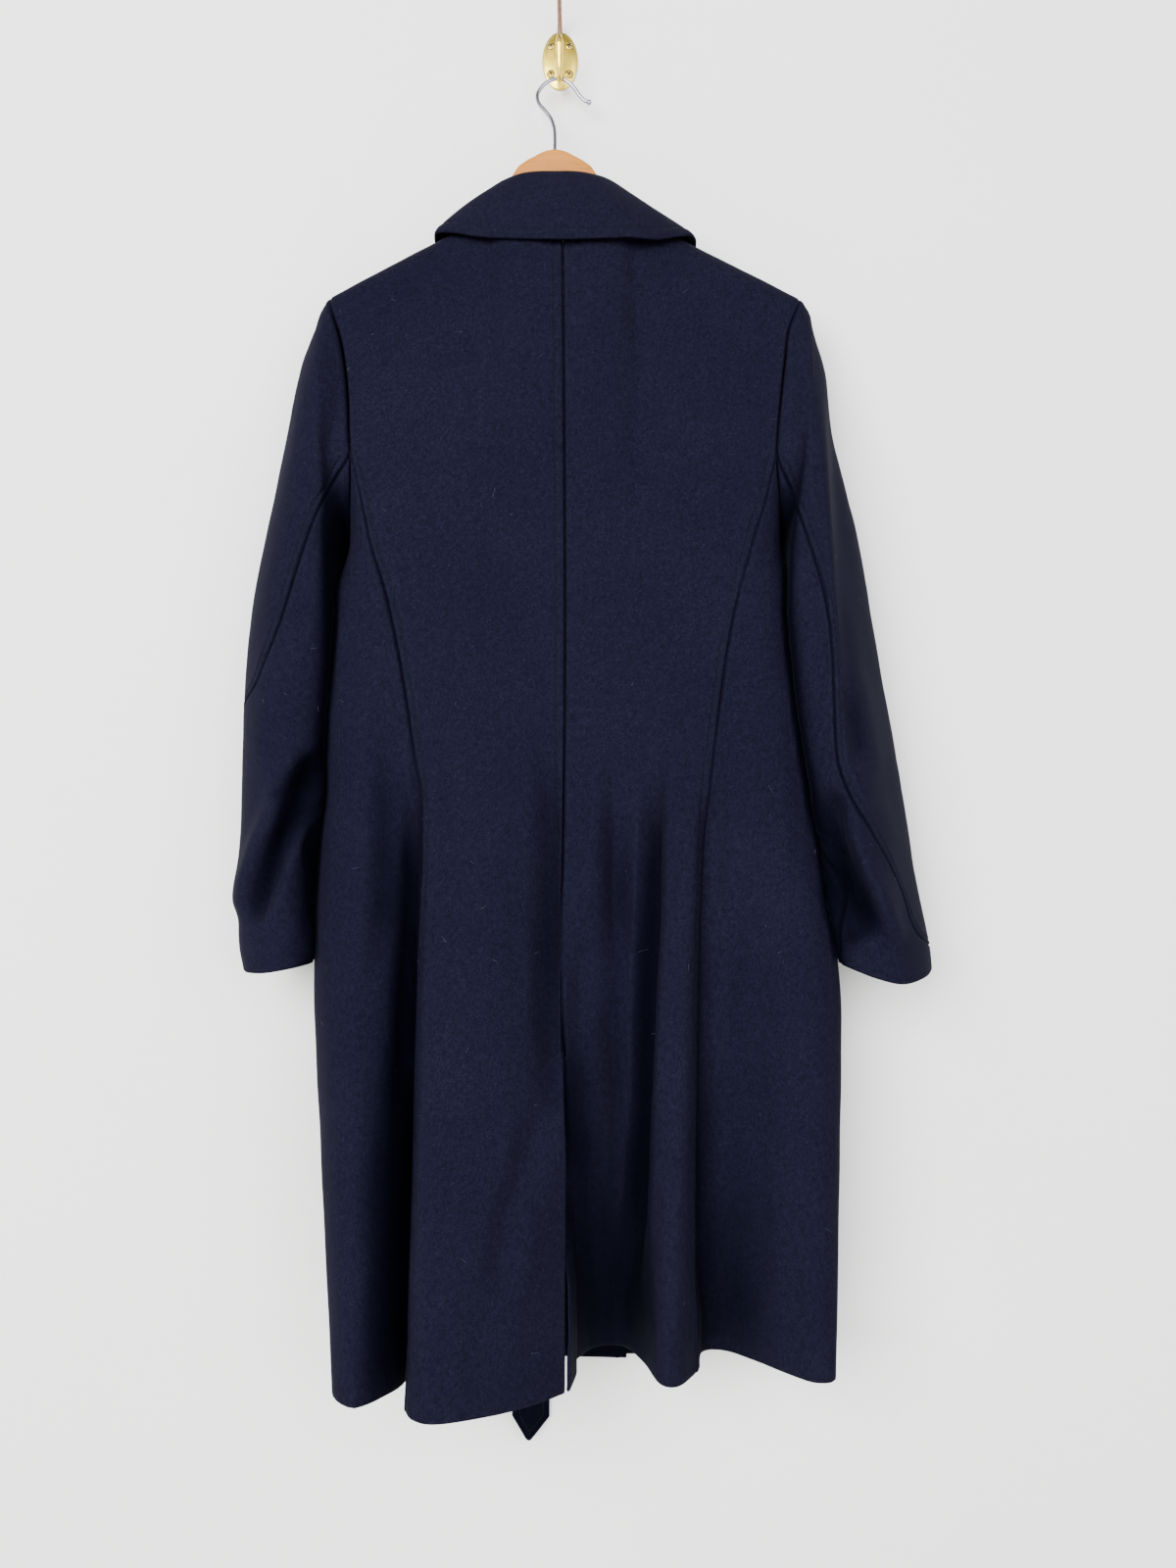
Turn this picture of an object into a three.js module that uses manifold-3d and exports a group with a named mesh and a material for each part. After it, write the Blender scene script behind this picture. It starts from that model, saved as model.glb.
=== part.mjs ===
// Tailored wool coat hanging on a wooden hanger from a brass wall hook.
// Millimetres, +Z up. The origin is the centre of the wall plate's back face,
// +Y points into the wall and the coat's back faces -Y.
import * as THREE from 'three';
import { mergeVertices } from 'three/addons/utils/BufferGeometryUtils.js';
import Module from 'manifold-3d';

const wasm = await Module();
wasm.setup();

// ---------------------------------------------------------------- sizes
const CLOTH = 2.2;         // melton wall
const DOUBLE = 3.0;        // collar leaf, lapels and belt: two layers
const SEAM = 0.3;          // clear gap between two sewn pieces
const WAIST = -610;        // level where the shaped upper patches end
const VENT_TOP = -924;     // top of the centre-back vent
const HEM = -1201;         // back hem
const FRONT_DROP = 30;     // the fronts hang this much lower at their edges

const NAVY = { color: 0x1e2336, roughness: 0.92, metalness: 0 };
const BRASS = { color: 0xd9b45a, roughness: 0.18, metalness: 1 };
const CHROME = { color: 0xd8dade, roughness: 0.12, metalness: 1 };
const BEECH = { color: 0xdba66a, roughness: 0.45, metalness: 0 };

// ---------------------------------------------------------------- vectors
const add = (a, b, k = 1) => [a[0] + k * b[0], a[1] + k * b[1], a[2] + k * b[2]];
const sub = (a, b) => [a[0] - b[0], a[1] - b[1], a[2] - b[2]];
const len = (a) => Math.hypot(a[0], a[1], a[2]);
const unit = (a) => { const l = len(a) || 1; return [a[0] / l, a[1] / l, a[2] / l]; };
const cross = (a, b) => [a[1] * b[2] - a[2] * b[1], a[2] * b[0] - a[0] * b[2], a[0] * b[1] - a[1] * b[0]];
const dot = (a, b) => a[0] * b[0] + a[1] * b[1] + a[2] * b[2];
const mix = (a, b, k) => a.map((v, i) => v + (b[i] - v) * k);
const smooth = (e0, e1, x) => { const k = Math.min(1, Math.max(0, (x - e0) / (e1 - e0))); return k * k * (3 - 2 * k); };

// ---------------------------------------------------------------- splines
// A smooth curve through values at uneven stations.
function spline(ts, vs) {
  const n = ts.length;
  const slope = (i) => vs[i + 1].map((v, c) => (v - vs[i][c]) / (ts[i + 1] - ts[i]));
  const m = vs.map((_, i) => {
    if (i === 0) return slope(0);
    if (i === n - 1) return slope(n - 2);
    const a = slope(i - 1), b = slope(i), wa = ts[i + 1] - ts[i], wb = ts[i] - ts[i - 1];
    return a.map((v, c) => (v * wa + b[c] * wb) / (wa + wb));
  });
  return (t) => {
    let i = 0;
    while (i < n - 2 && t > ts[i + 1]) i++;
    const h = ts[i + 1] - ts[i], u = (t - ts[i]) / h, u2 = u * u, u3 = u2 * u;
    return vs[i].map((v, c) => (2 * u3 - 3 * u2 + 1) * v + (u3 - 2 * u2 + u) * h * m[i][c]
      + (-2 * u3 + 3 * u2) * vs[i + 1][c] + (u3 - u2) * h * m[i + 1][c]);
  };
}
// A curve through points, from 0 to 1 by chord length.
function path(pts) {
  const ts = [0];
  for (let i = 1; i < pts.length; i++) ts.push(ts[i - 1] + len(sub(pts[i], pts[i - 1])));
  const total = ts[ts.length - 1];
  return spline(ts.map((t) => t / total), pts);
}
// A closed curve through points, 0 to 1 by chord length, starting at the first point.
function ring(pts) {
  const n = pts.length, at = (i) => pts[((i % n) + n) % n];
  const ts = [], vs = [];
  let t = 0;
  for (let i = 0; i <= n; i++) { ts.push(t); vs.push(at(i)); t += len(sub(at(i + 1), at(i))); }
  const total = ts[n];
  const pad = 2, T = [], V = [];
  for (let i = -pad; i <= n + pad; i++) {
    const k = Math.floor(i / n), j = ((i % n) + n) % n;
    T.push(ts[j] / total + k); V.push(at(i));
  }
  const f = spline(T, V);
  return (s) => f(((s % 1) + 1) % 1);
}

// ---------------------------------------------------------------- walls of cloth
const grid = (rows, cols, f) => Array.from({ length: rows }, (_, i) => Array.from({ length: cols }, (_, j) => f(i, j)));

function gridNormals(P, out, has) {
  const R = P.length, C = P[0].length, N = grid(R, C, () => [0, 0, 0]);
  let sign = 0;
  for (let i = 0; i < R - 1; i++) for (let j = 0; j < C - 1; j++) {
    if (has && !has(i, j)) continue;
    const n = unit(cross(sub(P[i + 1][j + 1], P[i][j]), sub(P[i][j + 1], P[i + 1][j])));
    for (const [a, b] of [[i, j], [i + 1, j], [i, j + 1], [i + 1, j + 1]]) N[a][b] = add(N[a][b], n);
    sign += dot(n, out(P[i][j], i, j));
  }
  const s = sign < 0 ? -1 : 1;
  return N.map((row) => row.map((n) => unit(n.map((v) => v * s))));
}

// Closed solid between a sheet of points and the same sheet moved in by t.
function wall(name, P, N, look, t = CLOTH, has = null) {
  const R = P.length, C = P[0].length, inside = (i, j) => i >= 0 && j >= 0 && i < R - 1 && j < C - 1 && (!has || has(i, j));
  const verts = [], id = new Map();
  const put = (i, j, layer) => {
    const key = `${i},${j},${layer}`;
    if (!id.has(key)) { id.set(key, verts.length / 3); verts.push(...(layer ? add(P[i][j], N[i][j], -t) : P[i][j])); }
    return id.get(key);
  };
  // the turn of the grid against the outward side
  let turn = 0;
  for (let i = 0; i < R - 1; i++) for (let j = 0; j < C - 1; j++) if (inside(i, j)) {
    turn += dot(cross(sub(P[i][j + 1], P[i][j]), sub(P[i + 1][j], P[i][j])), N[i][j]);
  }
  const tris = [];
  const face = (a, b, c) => { if (turn > 0) tris.push(a, b, c); else tris.push(a, c, b); };
  for (let i = 0; i < R - 1; i++) for (let j = 0; j < C - 1; j++) {
    if (!inside(i, j)) continue;
    const a = [i, j], b = [i, j + 1], c = [i + 1, j + 1], d = [i + 1, j];
    const short = len(sub(P[i][j], P[i + 1][j + 1])) <= len(sub(P[i][j + 1], P[i + 1][j]));
    for (const layer of [0, 1]) {
      const [A, B, Cc, D] = [a, b, c, d].map((q) => put(...q, layer));
      const two = short ? [[A, B, Cc], [A, Cc, D]] : [[A, B, D], [B, Cc, D]];
      for (const q of two) if (layer) face(q[0], q[2], q[1]); else face(...q);
    }
    const sides = [[a, b, inside(i - 1, j)], [b, c, inside(i, j + 1)], [c, d, inside(i + 1, j)], [d, a, inside(i, j - 1)]];
    for (const [p, q, joined] of sides) {
      if (joined) continue;
      const p0 = put(...p, 0), q0 = put(...q, 0), p1 = put(...p, 1), q1 = put(...q, 1);
      face(q0, p0, p1); face(q0, p1, q1);
    }
  }
  const g = new THREE.BufferGeometry();
  g.setAttribute('position', new THREE.Float32BufferAttribute(verts, 3));
  g.setIndex(tris);
  return named(name, g, look);
}
function named(name, g, look) {
  const m = new THREE.Mesh(g, new THREE.MeshStandardMaterial(look));
  m.name = name;
  return m;
}
// Moves one edge column of a sheet in along the sheet by d.
function trimColumn(P, j, d) {
  const k = j === 0 ? 1 : j - 1;
  return P.map((row) => row.map((p, c) => (c === j ? add(p, unit(sub(row[k], p)), d) : p)));
}
function trimRow(P, i, d) {
  const k = i === 0 ? 1 : i - 1;
  return P.map((row, r) => (r === i ? row.map((p, c) => add(p, unit(sub(P[k][c], p)), d)) : row));
}
const averageEdge = (A, ja, B, jb, ra = 0, rb = 0, n = null) => {
  for (let i = 0; i < (n ?? Math.min(A.length - ra, B.length - rb)); i++) {
    const s = unit(add(A[i + ra][ja], B[i + rb][jb]));
    A[i + ra][ja] = s; B[i + rb][jb] = s;
  }
};
// Four-sided patch between its edges: top[j], bottom[j], left[i], right[i].
function patch(top, bottom, left, right, vs, qs) {
  return vs.map((v, i) => qs.map((q, j) => [0, 1, 2].map((c) =>
    (1 - q) * left[i][c] + q * right[i][c] + (1 - v) * top[j][c] + v * bottom[j][c]
    - ((1 - q) * (1 - v) * top[0][c] + q * (1 - v) * top[top.length - 1][c]
      + (1 - q) * v * bottom[0][c] + q * v * bottom[bottom.length - 1][c]))));
}

// ---------------------------------------------------------------- armholes
// x, y, z from the shoulder seam down the back, under the arm and up the front.
const ARMHOLE = {
  left: [
    [-207, -38, -246], [-208.6, -60, -252.6], [-194.7, -75, -297.5], [-187.4, -85, -339.6], [-184, -93, -385.6],
    [-182.8, -95, -403.3], [-184, -88, -440], [-186, -72, -465], [-187, -50, -473], [-186, -34, -462],
    [-185, -26, -430], [-186, -23, -390], [-190, -23, -340], [-198, -25, -290], [-205, -29, -258]],
  right: [
    [219, -38, -247.5], [220.3, -60, -254.4], [208.4, -72, -283], [202.7, -80, -317], [197.8, -88, -354],
    [193.3, -95, -405], [196, -89, -440], [198.5, -72, -465], [199.5, -50, -474], [198, -34, -462],
    [197, -26, -430], [198, -23, -390], [203, -23, -340], [211, -25, -290], [217, -29, -259]],
};
const PRINCESS_AT = { left: 5, right: 5 };  // row where the princess seam starts
const UNDERARM_AT = 8;
function armhole(side) {
  const rows = ARMHOLE[side], f = ring(rows);
  const s = [0];
  for (let i = 1; i <= rows.length; i++) s.push(s[i - 1] + len(sub(rows[i % rows.length], rows[i - 1])));
  const at = s.map((v) => v / s[rows.length]);
  const sx = side === 'left' ? -1 : 1, centre = [sx * 195, -56, -362];
  return {
    f, princess: at[PRINCESS_AT[side]], underarm: at[UNDERARM_AT], at,
    normal: (t) => {
      const p = f(t), r = unit([0, p[1] - centre[1], (p[2] - centre[2]) * 0.6]);
      return unit(add(r, [sx, 0, 0], 0.8 * Math.cos(2 * Math.PI * (t - 0.01)) ** 2));
    },
  };
}
const ARM = { left: armhole('left'), right: armhole('right') };

// ---------------------------------------------------------------- seam lines above the waist
const PRINCESS = {
  left: [[-182.8, -95, -403.3], [-173.5, -100, -440], [-163, -104, -486], [-149, -108, -529], [-138.5, -111, -575], [-132, -114, -610]],
  right: [[193.3, -95, -405], [185, -99, -438], [169, -104, -490], [158, -108, -529], [149, -111, -567], [143, -113, -610]],
};
const CENTRE_BACK = [[4, -58, -177], [4.2, -74, -194], [4.4, -84, -217], [5, -93, -260], [5.6, -99, -330], [6.4, -105, -430], [7, -111, -530], [7, -115, -610]];
const NECK_POINT = { left: [-62, -38, -167], right: [70, -38, -167] };
const NECK_BACK = { left: [[-62, -38, -167], [-52, -48, -170.5], [-30, -56, -175], [4, -58, -177]], right: [[70, -38, -167], [60, -48, -170.5], [38, -56, -175], [4, -58, -177]] };
const SIDE_SEAM = {
  left: [[-187, -50, -473], [-190, -51, -540], [-190, -50, -610]],
  right: [[199.5, -50, -474], [203, -51, -540], [202, -50, -610]],
};
// edge of each front where the lapel turns back, from the neck point down to the waist
const ROLL = {
  left: [[-62, -38, -167], [-60, -26, -177], [-54, -22, -205], [-38, -20, -260], [10, -20, -370], [50, -20, -450], [55, -20, -520], [55, -20, -610]],
  right: [[70, -38, -167], [67, -26, -177], [60, -19, -205], [44, -15, -260], [-4, -14, -370], [-50, -14, -450], [-60, -14, -520], [-60, -14, -610]],
};

// ---------------------------------------------------------------- folds of the skirt
// Each row is one fold line, running down from the waist; x, y at each level.
const LEVELS = [-610, -730, -849, -1030, -1201];
const SIDE_BACK_LEFT = [
  // waist        high hip      hip           knee          hem
  { line: 'side_seam', at: [[-190, -50], [-199, -56], [-204, -64], [-197, -76], [-184, -98]] },
  { line: 'edge', at: [[-200, -71], [-210, -80], [-214.5, -93], [-202, -116], [-187, -150]] },
  { line: 'corner', at: [[-190, -94], [-198, -106], [-199, -122], [-187, -145], [-168, -173]] },
  { line: 'corner_b', at: [[-172, -106], [-176, -119], [-176, -134], [-170, -154], [-154, -168]] },
  { line: 'slope', at: [[-156, -111], [-152, -122], [-150, -134], [-147, -149], [-141, -157]] },
  { line: 'valley_edge', at: [[-145, -113], [-132, -118], [-126, -122], [-126, -131], [-129.5, -147]] },
  { line: 'valley', at: [[-138, -114], [-123, -117], [-118.5, -115], [-119.5, -113], [-122, -121]] },
  { line: 'princess_seam', at: [[-132, -114], [-116, -123], [-116, -132], [-118, -155], [-123, -174]] },
];
const BACK_LEFT = [
  { line: 'princess_seam', at: [[-132, -114], [-116, -123], [-116, -132], [-118, -155], [-123, -174]] },
  { line: 'ridge_edge', at: [[-120, -115.5], [-104, -129], [-104, -144], [-109, -171], [-114, -191]] },
  { line: 'ridge', at: [[-98, -116.5], [-84, -132], [-84, -150], [-88, -178], [-93, -198]] },
  { line: 'ridge_fall', at: [[-58, -117], [-48, -131], [-45, -146], [-44, -167], [-47, -184]] },
  { line: 'shallow_valley', at: [[-22, -116], [-18, -123], [-14, -130], [-12, -149], [-14, -166]] },
  { line: 'centre_back', at: [[7, -115], [6, -122], [4.5, -128], [7.5, -138], [7.5, -150]] },
];
const BACK_RIGHT = [
  { line: 'centre_back', at: [[7, -115], [6, -122], [4.5, -128], [14, -113], [18, -90]] },
  { line: 'fan', at: [[26, -114.5], [26, -120], [24, -121], [28, -103], [30, -72]] },
  { line: 'floor', at: [[48, -114], [46, -116], [44, -115], [46, -96], [44.5, -66]] },
  { line: 'valley', at: [[72, -113], [66, -112], [60, -110], [61, -96], [60, -70]] },
  { line: 'valley_rise', at: [[86, -113], [78, -115], [72, -114], [71, -104], [74, -86]] },
  { line: 'ridge_fall', at: [[100, -113.5], [92, -121], [86, -127], [83, -124], [87, -122]] },
  { line: 'ridge', at: [[118, -114], [109, -124], [104, -133], [100, -138], [102, -139]] },
  { line: 'princess_seam', at: [[143, -113], [129, -120], [124, -124], [121, -121], [124, -111]] },
];
const SIDE_BACK_RIGHT = [
  { line: 'princess_seam', at: [[143, -113], [129, -120], [124, -124], [121, -121], [124, -111]] },
  { line: 'fold_back', at: [[150, -111.5], [138, -115], [133, -115], [129, -104], [129.5, -79]] },
  { line: 'valley', at: [[160, -109], [153, -112], [150, -112], [148, -102], [149, -77]] },
  { line: 'side_rise', at: [[176, -105], [176, -114], [178, -118], [175, -110], [172, -94]] },
  { line: 'side_panel', at: [[192, -98], [198, -112], [204, -123], [201, -124], [199.5, -119]] },
  { line: 'corner', at: [[208, -86], [219, -102], [230, -118], [226, -128], [220, -133]] },
  { line: 'edge', at: [[213, -70], [231, -84], [246, -98], [244.5, -111], [238, -127]] },
  { line: 'side_seam', at: [[202, -50], [220, -56], [235, -64], [239, -76], [237, -92]] },
];
const FRONT_LEFT = [
  { line: 'side_seam', at: [[-190, -50], [-199, -56], [-204, -64], [-197, -76], [-184, -98]], drop: 0 },
  { line: 'side_front', at: [[-183, -29], [-191, -32], [-195, -36], [-190, -42], [-180, -52]], drop: 5 },
  { line: 'fold_a', at: [[-158, -22], [-162, -22], [-164, -23], [-162, -24], [-156, -26]], drop: 14 },
  { line: 'fold_b', at: [[-96, -20], [-96, -22], [-96, -24], [-95, -28], [-94, -32]], drop: 26 },
  { line: 'fold_c', at: [[-22, -20], [-22, -20], [-20, -20], [-20, -20], [-20, -21]], drop: 30 },
  { line: 'front_edge', at: [[55, -20], [56, -20], [58, -21], [60, -22.5], [62, -24]], drop: 30 },
];
const FRONT_RIGHT = [
  { line: 'side_seam', at: [[202, -50], [220, -56], [235, -64], [239, -76], [237, -92]], drop: 0 },
  { line: 'side_front', at: [[195, -28], [212, -31], [226, -35], [230, -41], [230, -50]], drop: 5 },
  { line: 'fold_a', at: [[164, -17], [176, -17], [184, -18], [186, -19], [187, -21]], drop: 14 },
  { line: 'fold_b', at: [[90, -14], [96, -15], [100, -16], [102, -19], [103, -22]], drop: 26 },
  { line: 'fold_c', at: [[12, -14], [12, -14], [13, -14], [14, -14.5], [15, -15]], drop: 30 },
  { line: 'front_edge', at: [[-60, -14], [-60, -14], [-62, -14], [-63, -14], [-64, -14]], drop: 30 },
];
// how the hidden width of the vent leaves the right panel: z, then x, y of its free edge and of its middle
const UNDERLAP = [
  { z: -924, free: [-34, -120], mid: [-14, -121] },
  { z: -975, free: [-28, -123], mid: [-8, -121] },
  { z: -1030, free: [-14, -129], mid: [2, -122] },
  { z: -1070, free: [0, -133.5], mid: [9, -122] },
  { z: -1100, free: [8.5, -137], mid: [14, -121] },
  { z: -1145, free: [11.5, -141], mid: [16.5, -119.5] },
  { z: -1201, free: [12, -146], mid: [17, -118] },
];

const SKIRT_ROWS = [-650, -690, -730, -790, -849, -887, VENT_TOP, -975, -1030, -1085, -1143, HEM];
const ARM_ROWS = 5, CHEST_ROWS = 4;
const FORE_AT_ARMHOLE = 0.665;
// the stations round the armhole that the body and the sleeve share
const armStations = (arm) => ({
  front: [1, 0.978, 0.933, 0.867, 0.8, 0.73, FORE_AT_ARMHOLE, 0.6, arm.underarm],
  back: Array.from({ length: ARM_ROWS + 1 }, (_, i) => arm.princess * (i / ARM_ROWS) ** 0.85),
  under: Array.from({ length: 8 }, (_, i) => arm.princess + (arm.underarm - arm.princess) * i / 7),
});

function foldLines(table, between) {
  // a point on the sheet from a column number and a level
  const lines = table.map((r) => spline(LEVELS.map((z) => -z), r.at));
  const ts = table.map((_, i) => i * between);
  return (j, z) => spline(ts, lines.map((f) => f(-z)))(j);
}
const drops = (table, between) => spline(table.map((_, i) => i * between), table.map((r) => [r.drop]));

// Columns of a panel from its fold table, rows from its upper edge curves to the hem.
function panel(table, between, top, left, right, vs, flat = false) {
  const cols = (table.length - 1) * between + 1;
  const sheet = foldLines(table, between);
  const waist = Array.from({ length: cols }, (_, j) => [...sheet(j, WAIST), WAIST]);
  const w = [0];
  for (let j = 1; j < cols; j++) w.push(w[j - 1] + len(sub(waist[j], waist[j - 1])));
  const qs = w.map((v) => v / w[cols - 1]);
  let upper = patch(top(cols), waist, left, right, vs, qs);
  if (flat) {
    // a front keeps its waist section's flatness all the way up
    const y0 = waist[0][1], y1 = waist[cols - 1][1];
    upper = upper.map((row, i) => row.map((p, j) => [p[0], right[i][1] + (left[i][1] - right[i][1]) * (waist[j][1] - y1) / (y0 - y1), p[2]]));
  }
  const drop = table[0].drop === undefined ? () => [0] : drops(table, between);
  const lower = SKIRT_ROWS.map((z) => Array.from({ length: cols }, (_, j) => {
    const p = sheet(j, z);
    return [p[0], p[1], z - drop(j)[0] * smooth(WAIST, HEM, z)];
  }));
  return upper.concat(lower);
}
// Softens the change of slope down the sheet around the waist, edge columns kept.
function ease(P, row, times = 2) {
  let A = P;
  for (let n = 0; n < times; n++) {
    A = A.map((r, i) => (Math.abs(i - row) > 1 ? r : r.map((p, j) => p.map((v, c) => (c === 2 ? v : 0.5 * v + 0.25 * (A[i - 1][j][c] + A[i + 1][j][c]))))));
  }
  return A;
}

function upperEdges(side) {
  const arm = ARM[side], princess = path(PRINCESS[side]), cb = path(CENTRE_BACK), seam = path(SIDE_SEAM[side]), roll = path(ROLL[side]);
  const back = [], z0 = ARMHOLE[side][0][2];
  for (const t of armStations(arm).back) back.push({ p: arm.f(t) });
  for (let i = 1; i <= CHEST_ROWS; i++) back.push({ p: princess(i / CHEST_ROWS) });
  const vs = back.map((b) => (b.p[2] - z0) / (WAIST - z0));
  return { arm, princess, cb, seam, roll, back, vs };
}

const parts = [];
const panels = {};
for (const side of ['left', 'right']) {
  const sx = side === 'left' ? -1 : 1;
  const E = upperEdges(side);
  const last = ARM_ROWS + CHEST_ROWS;
  // --- centre panel: column 0 on the princess seam, last column on the centre back
  const tableC = side === 'left' ? BACK_LEFT : [...BACK_RIGHT].reverse();
  const topC = (cols) => {
    const neck = path(NECK_BACK[side]), k = Math.round((cols - 1) * 0.64);
    return Array.from({ length: cols }, (_, j) => (j <= k
      ? mix(ARMHOLE[side][0], NECK_POINT[side], j / k)
      : neck((j - k) / (cols - 1 - k))));
  };
  const vsC = E.vs;
  let C = panel(tableC, side === 'left' ? 2 : 2, topC, E.back.map((b) => b.p), vsC.map((v) => E.cb(v)), vsC);
  // the patch keeps the centre back's own depth profile between its edges
  C = ease(C, last);
  const nc = C[0].length;
  // --- side panel: column 0 on the side seam, last column on the princess seam
  const tableS = side === 'left' ? SIDE_BACK_LEFT : [...SIDE_BACK_RIGHT].reverse();
  const vsS = Array.from({ length: CHEST_ROWS + 1 }, (_, i) => i / CHEST_ROWS);
  const tS = (cols, j) => E.arm.underarm + (E.arm.princess - E.arm.underarm) * (j / (cols - 1));
  const topS = (cols) => Array.from({ length: cols }, (_, j) => E.arm.f(tS(cols, j)));
  let S = panel(tableS, side === 'left' ? 2 : 2, topS, vsS.map((v) => E.seam(v)), vsS.map((v) => E.princess(v)), vsS);
  S = ease(S, CHEST_ROWS);
  const ns = S[0].length;
  for (let i = 0; i < S.length; i++) C[i + ARM_ROWS][0] = S[i][ns - 1];
  // --- front panel: column 0 on the side seam, last column on the front edge
  const tableF = side === 'left' ? FRONT_LEFT : FRONT_RIGHT;
  const stations = armStations(E.arm);
  const topF = (cols) => Array.from({ length: cols }, (_, j) => mix(ARMHOLE[side][0], NECK_POINT[side], j / (cols - 1)));
  const leftF = [...stations.front.map((t) => E.arm.f(t)), ...[1, 2, 3, 4].map((i) => E.seam(i / CHEST_ROWS))];
  const vLevel = leftF.map((p) => (p[2] - leftF[0][2]) / (WAIST - leftF[0][2]));
  const rollF = vLevel.map((v) => E.roll(v));
  const frontRows = leftF.length - 1;
  const F = ease(panel(tableF, 1, topF, leftF, rollF, vLevel, true), frontRows);

  panels[side] = { C, S, F, E, last };
  // --- outward directions, shared along each seam
  const outBack = () => [0, -1, 0], outFront = () => [0, 1, 0];
  const NC = gridNormals(C, outBack), NS = gridNormals(S, outBack), NF = gridNormals(F, outFront);
  averageEdge(NC, 0, NS, ns - 1, ARM_ROWS, 0);
  for (let i = 0; i < C.length; i++) if (i <= last + 7) NC[i][nc - 1] = unit([0, NC[i][nc - 1][1], NC[i][nc - 1][2]]);
  stations.back.forEach((t, i) => { NC[i][0] = E.arm.normal(t); });
  for (let j = 0; j < ns; j++) NS[0][j] = unit(mix(NS[0][j], E.arm.normal(tS(ns, j)), smooth(ns - 5, ns - 1, j)));
  NS[0][ns - 1] = NC[ARM_ROWS][0];
  for (let i = 1; i < S.length; i++) NS[i][0] = unit([sx, 0.25, 0]);
  for (let i = 0; i < F.length; i++) NF[i][0] = i < stations.front.length ? E.arm.normal(stations.front[i]) : unit([sx, 0.25, 0]);
  const crest = unit([sx * 0.5, 0, 1]);
  const kN = Math.round((nc - 1) * 0.64);
  for (let j = 1; j < F[0].length; j++) NF[0][j] = crest;
  for (let j = 1; j <= kN; j++) NC[0][j] = crest;

  // --- solids
  const D = SEAM / 2;
  let CC = trimColumn(C, 0, 2 * D);
  CC = trimRow(CC, 0, 2 * D);
  if (side === 'left') {
    CC = trimColumn(CC, nc - 1, D);
    parts.push(wall('back_left', CC, NC, NAVY));
  } else {
    // the vent's underlap carries on past the centre back, below the top of the vent
    const rowZ = CC.map((r) => r[nc - 1][2]);
    const free = spline(UNDERLAP.map((r) => -r.z), UNDERLAP.map((r) => r.free));
    const mid = spline(UNDERLAP.map((r) => -r.z), UNDERLAP.map((r) => r.mid));
    const top = rowZ.findIndex((z) => Math.abs(z - VENT_TOP) < 1e-6);
    const trimmed = trimColumn(CC, nc - 1, D);
    const wide = trimmed.map((row, i) => {
      const keep = i < top ? row : [...row.slice(0, nc - 1), CC[i][nc - 1]];
      const z = rowZ[i], zz = Math.min(z, VENT_TOP);
      return [...keep, [...mid(-zz), z], [...free(-zz), z - (i === top ? 26 : 0)]];
    });
    const has = (i, j) => j < nc - 1 || i >= top;
    const NW = gridNormals(wide, outBack, has);
    for (let i = 0; i < wide.length; i++) for (let j = 0; j < nc; j++) if (j < nc - 1 || i < top) NW[i][j] = NC[i][j];
    parts.push(wall('back_right', wide, NW, NAVY, CLOTH, has));
  }
  let SS = trimColumn(trimColumn(S, ns - 1, 2 * D), 0, 2 * D);
  parts.push(wall(`side_back_${side}`, SS, NS, NAVY));
  let FF = trimRow(trimColumn(F, 0, 2 * D), 0, 2 * D);
  parts.push(wall(`front_${side}`, FF, NF, NAVY));
}

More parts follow.
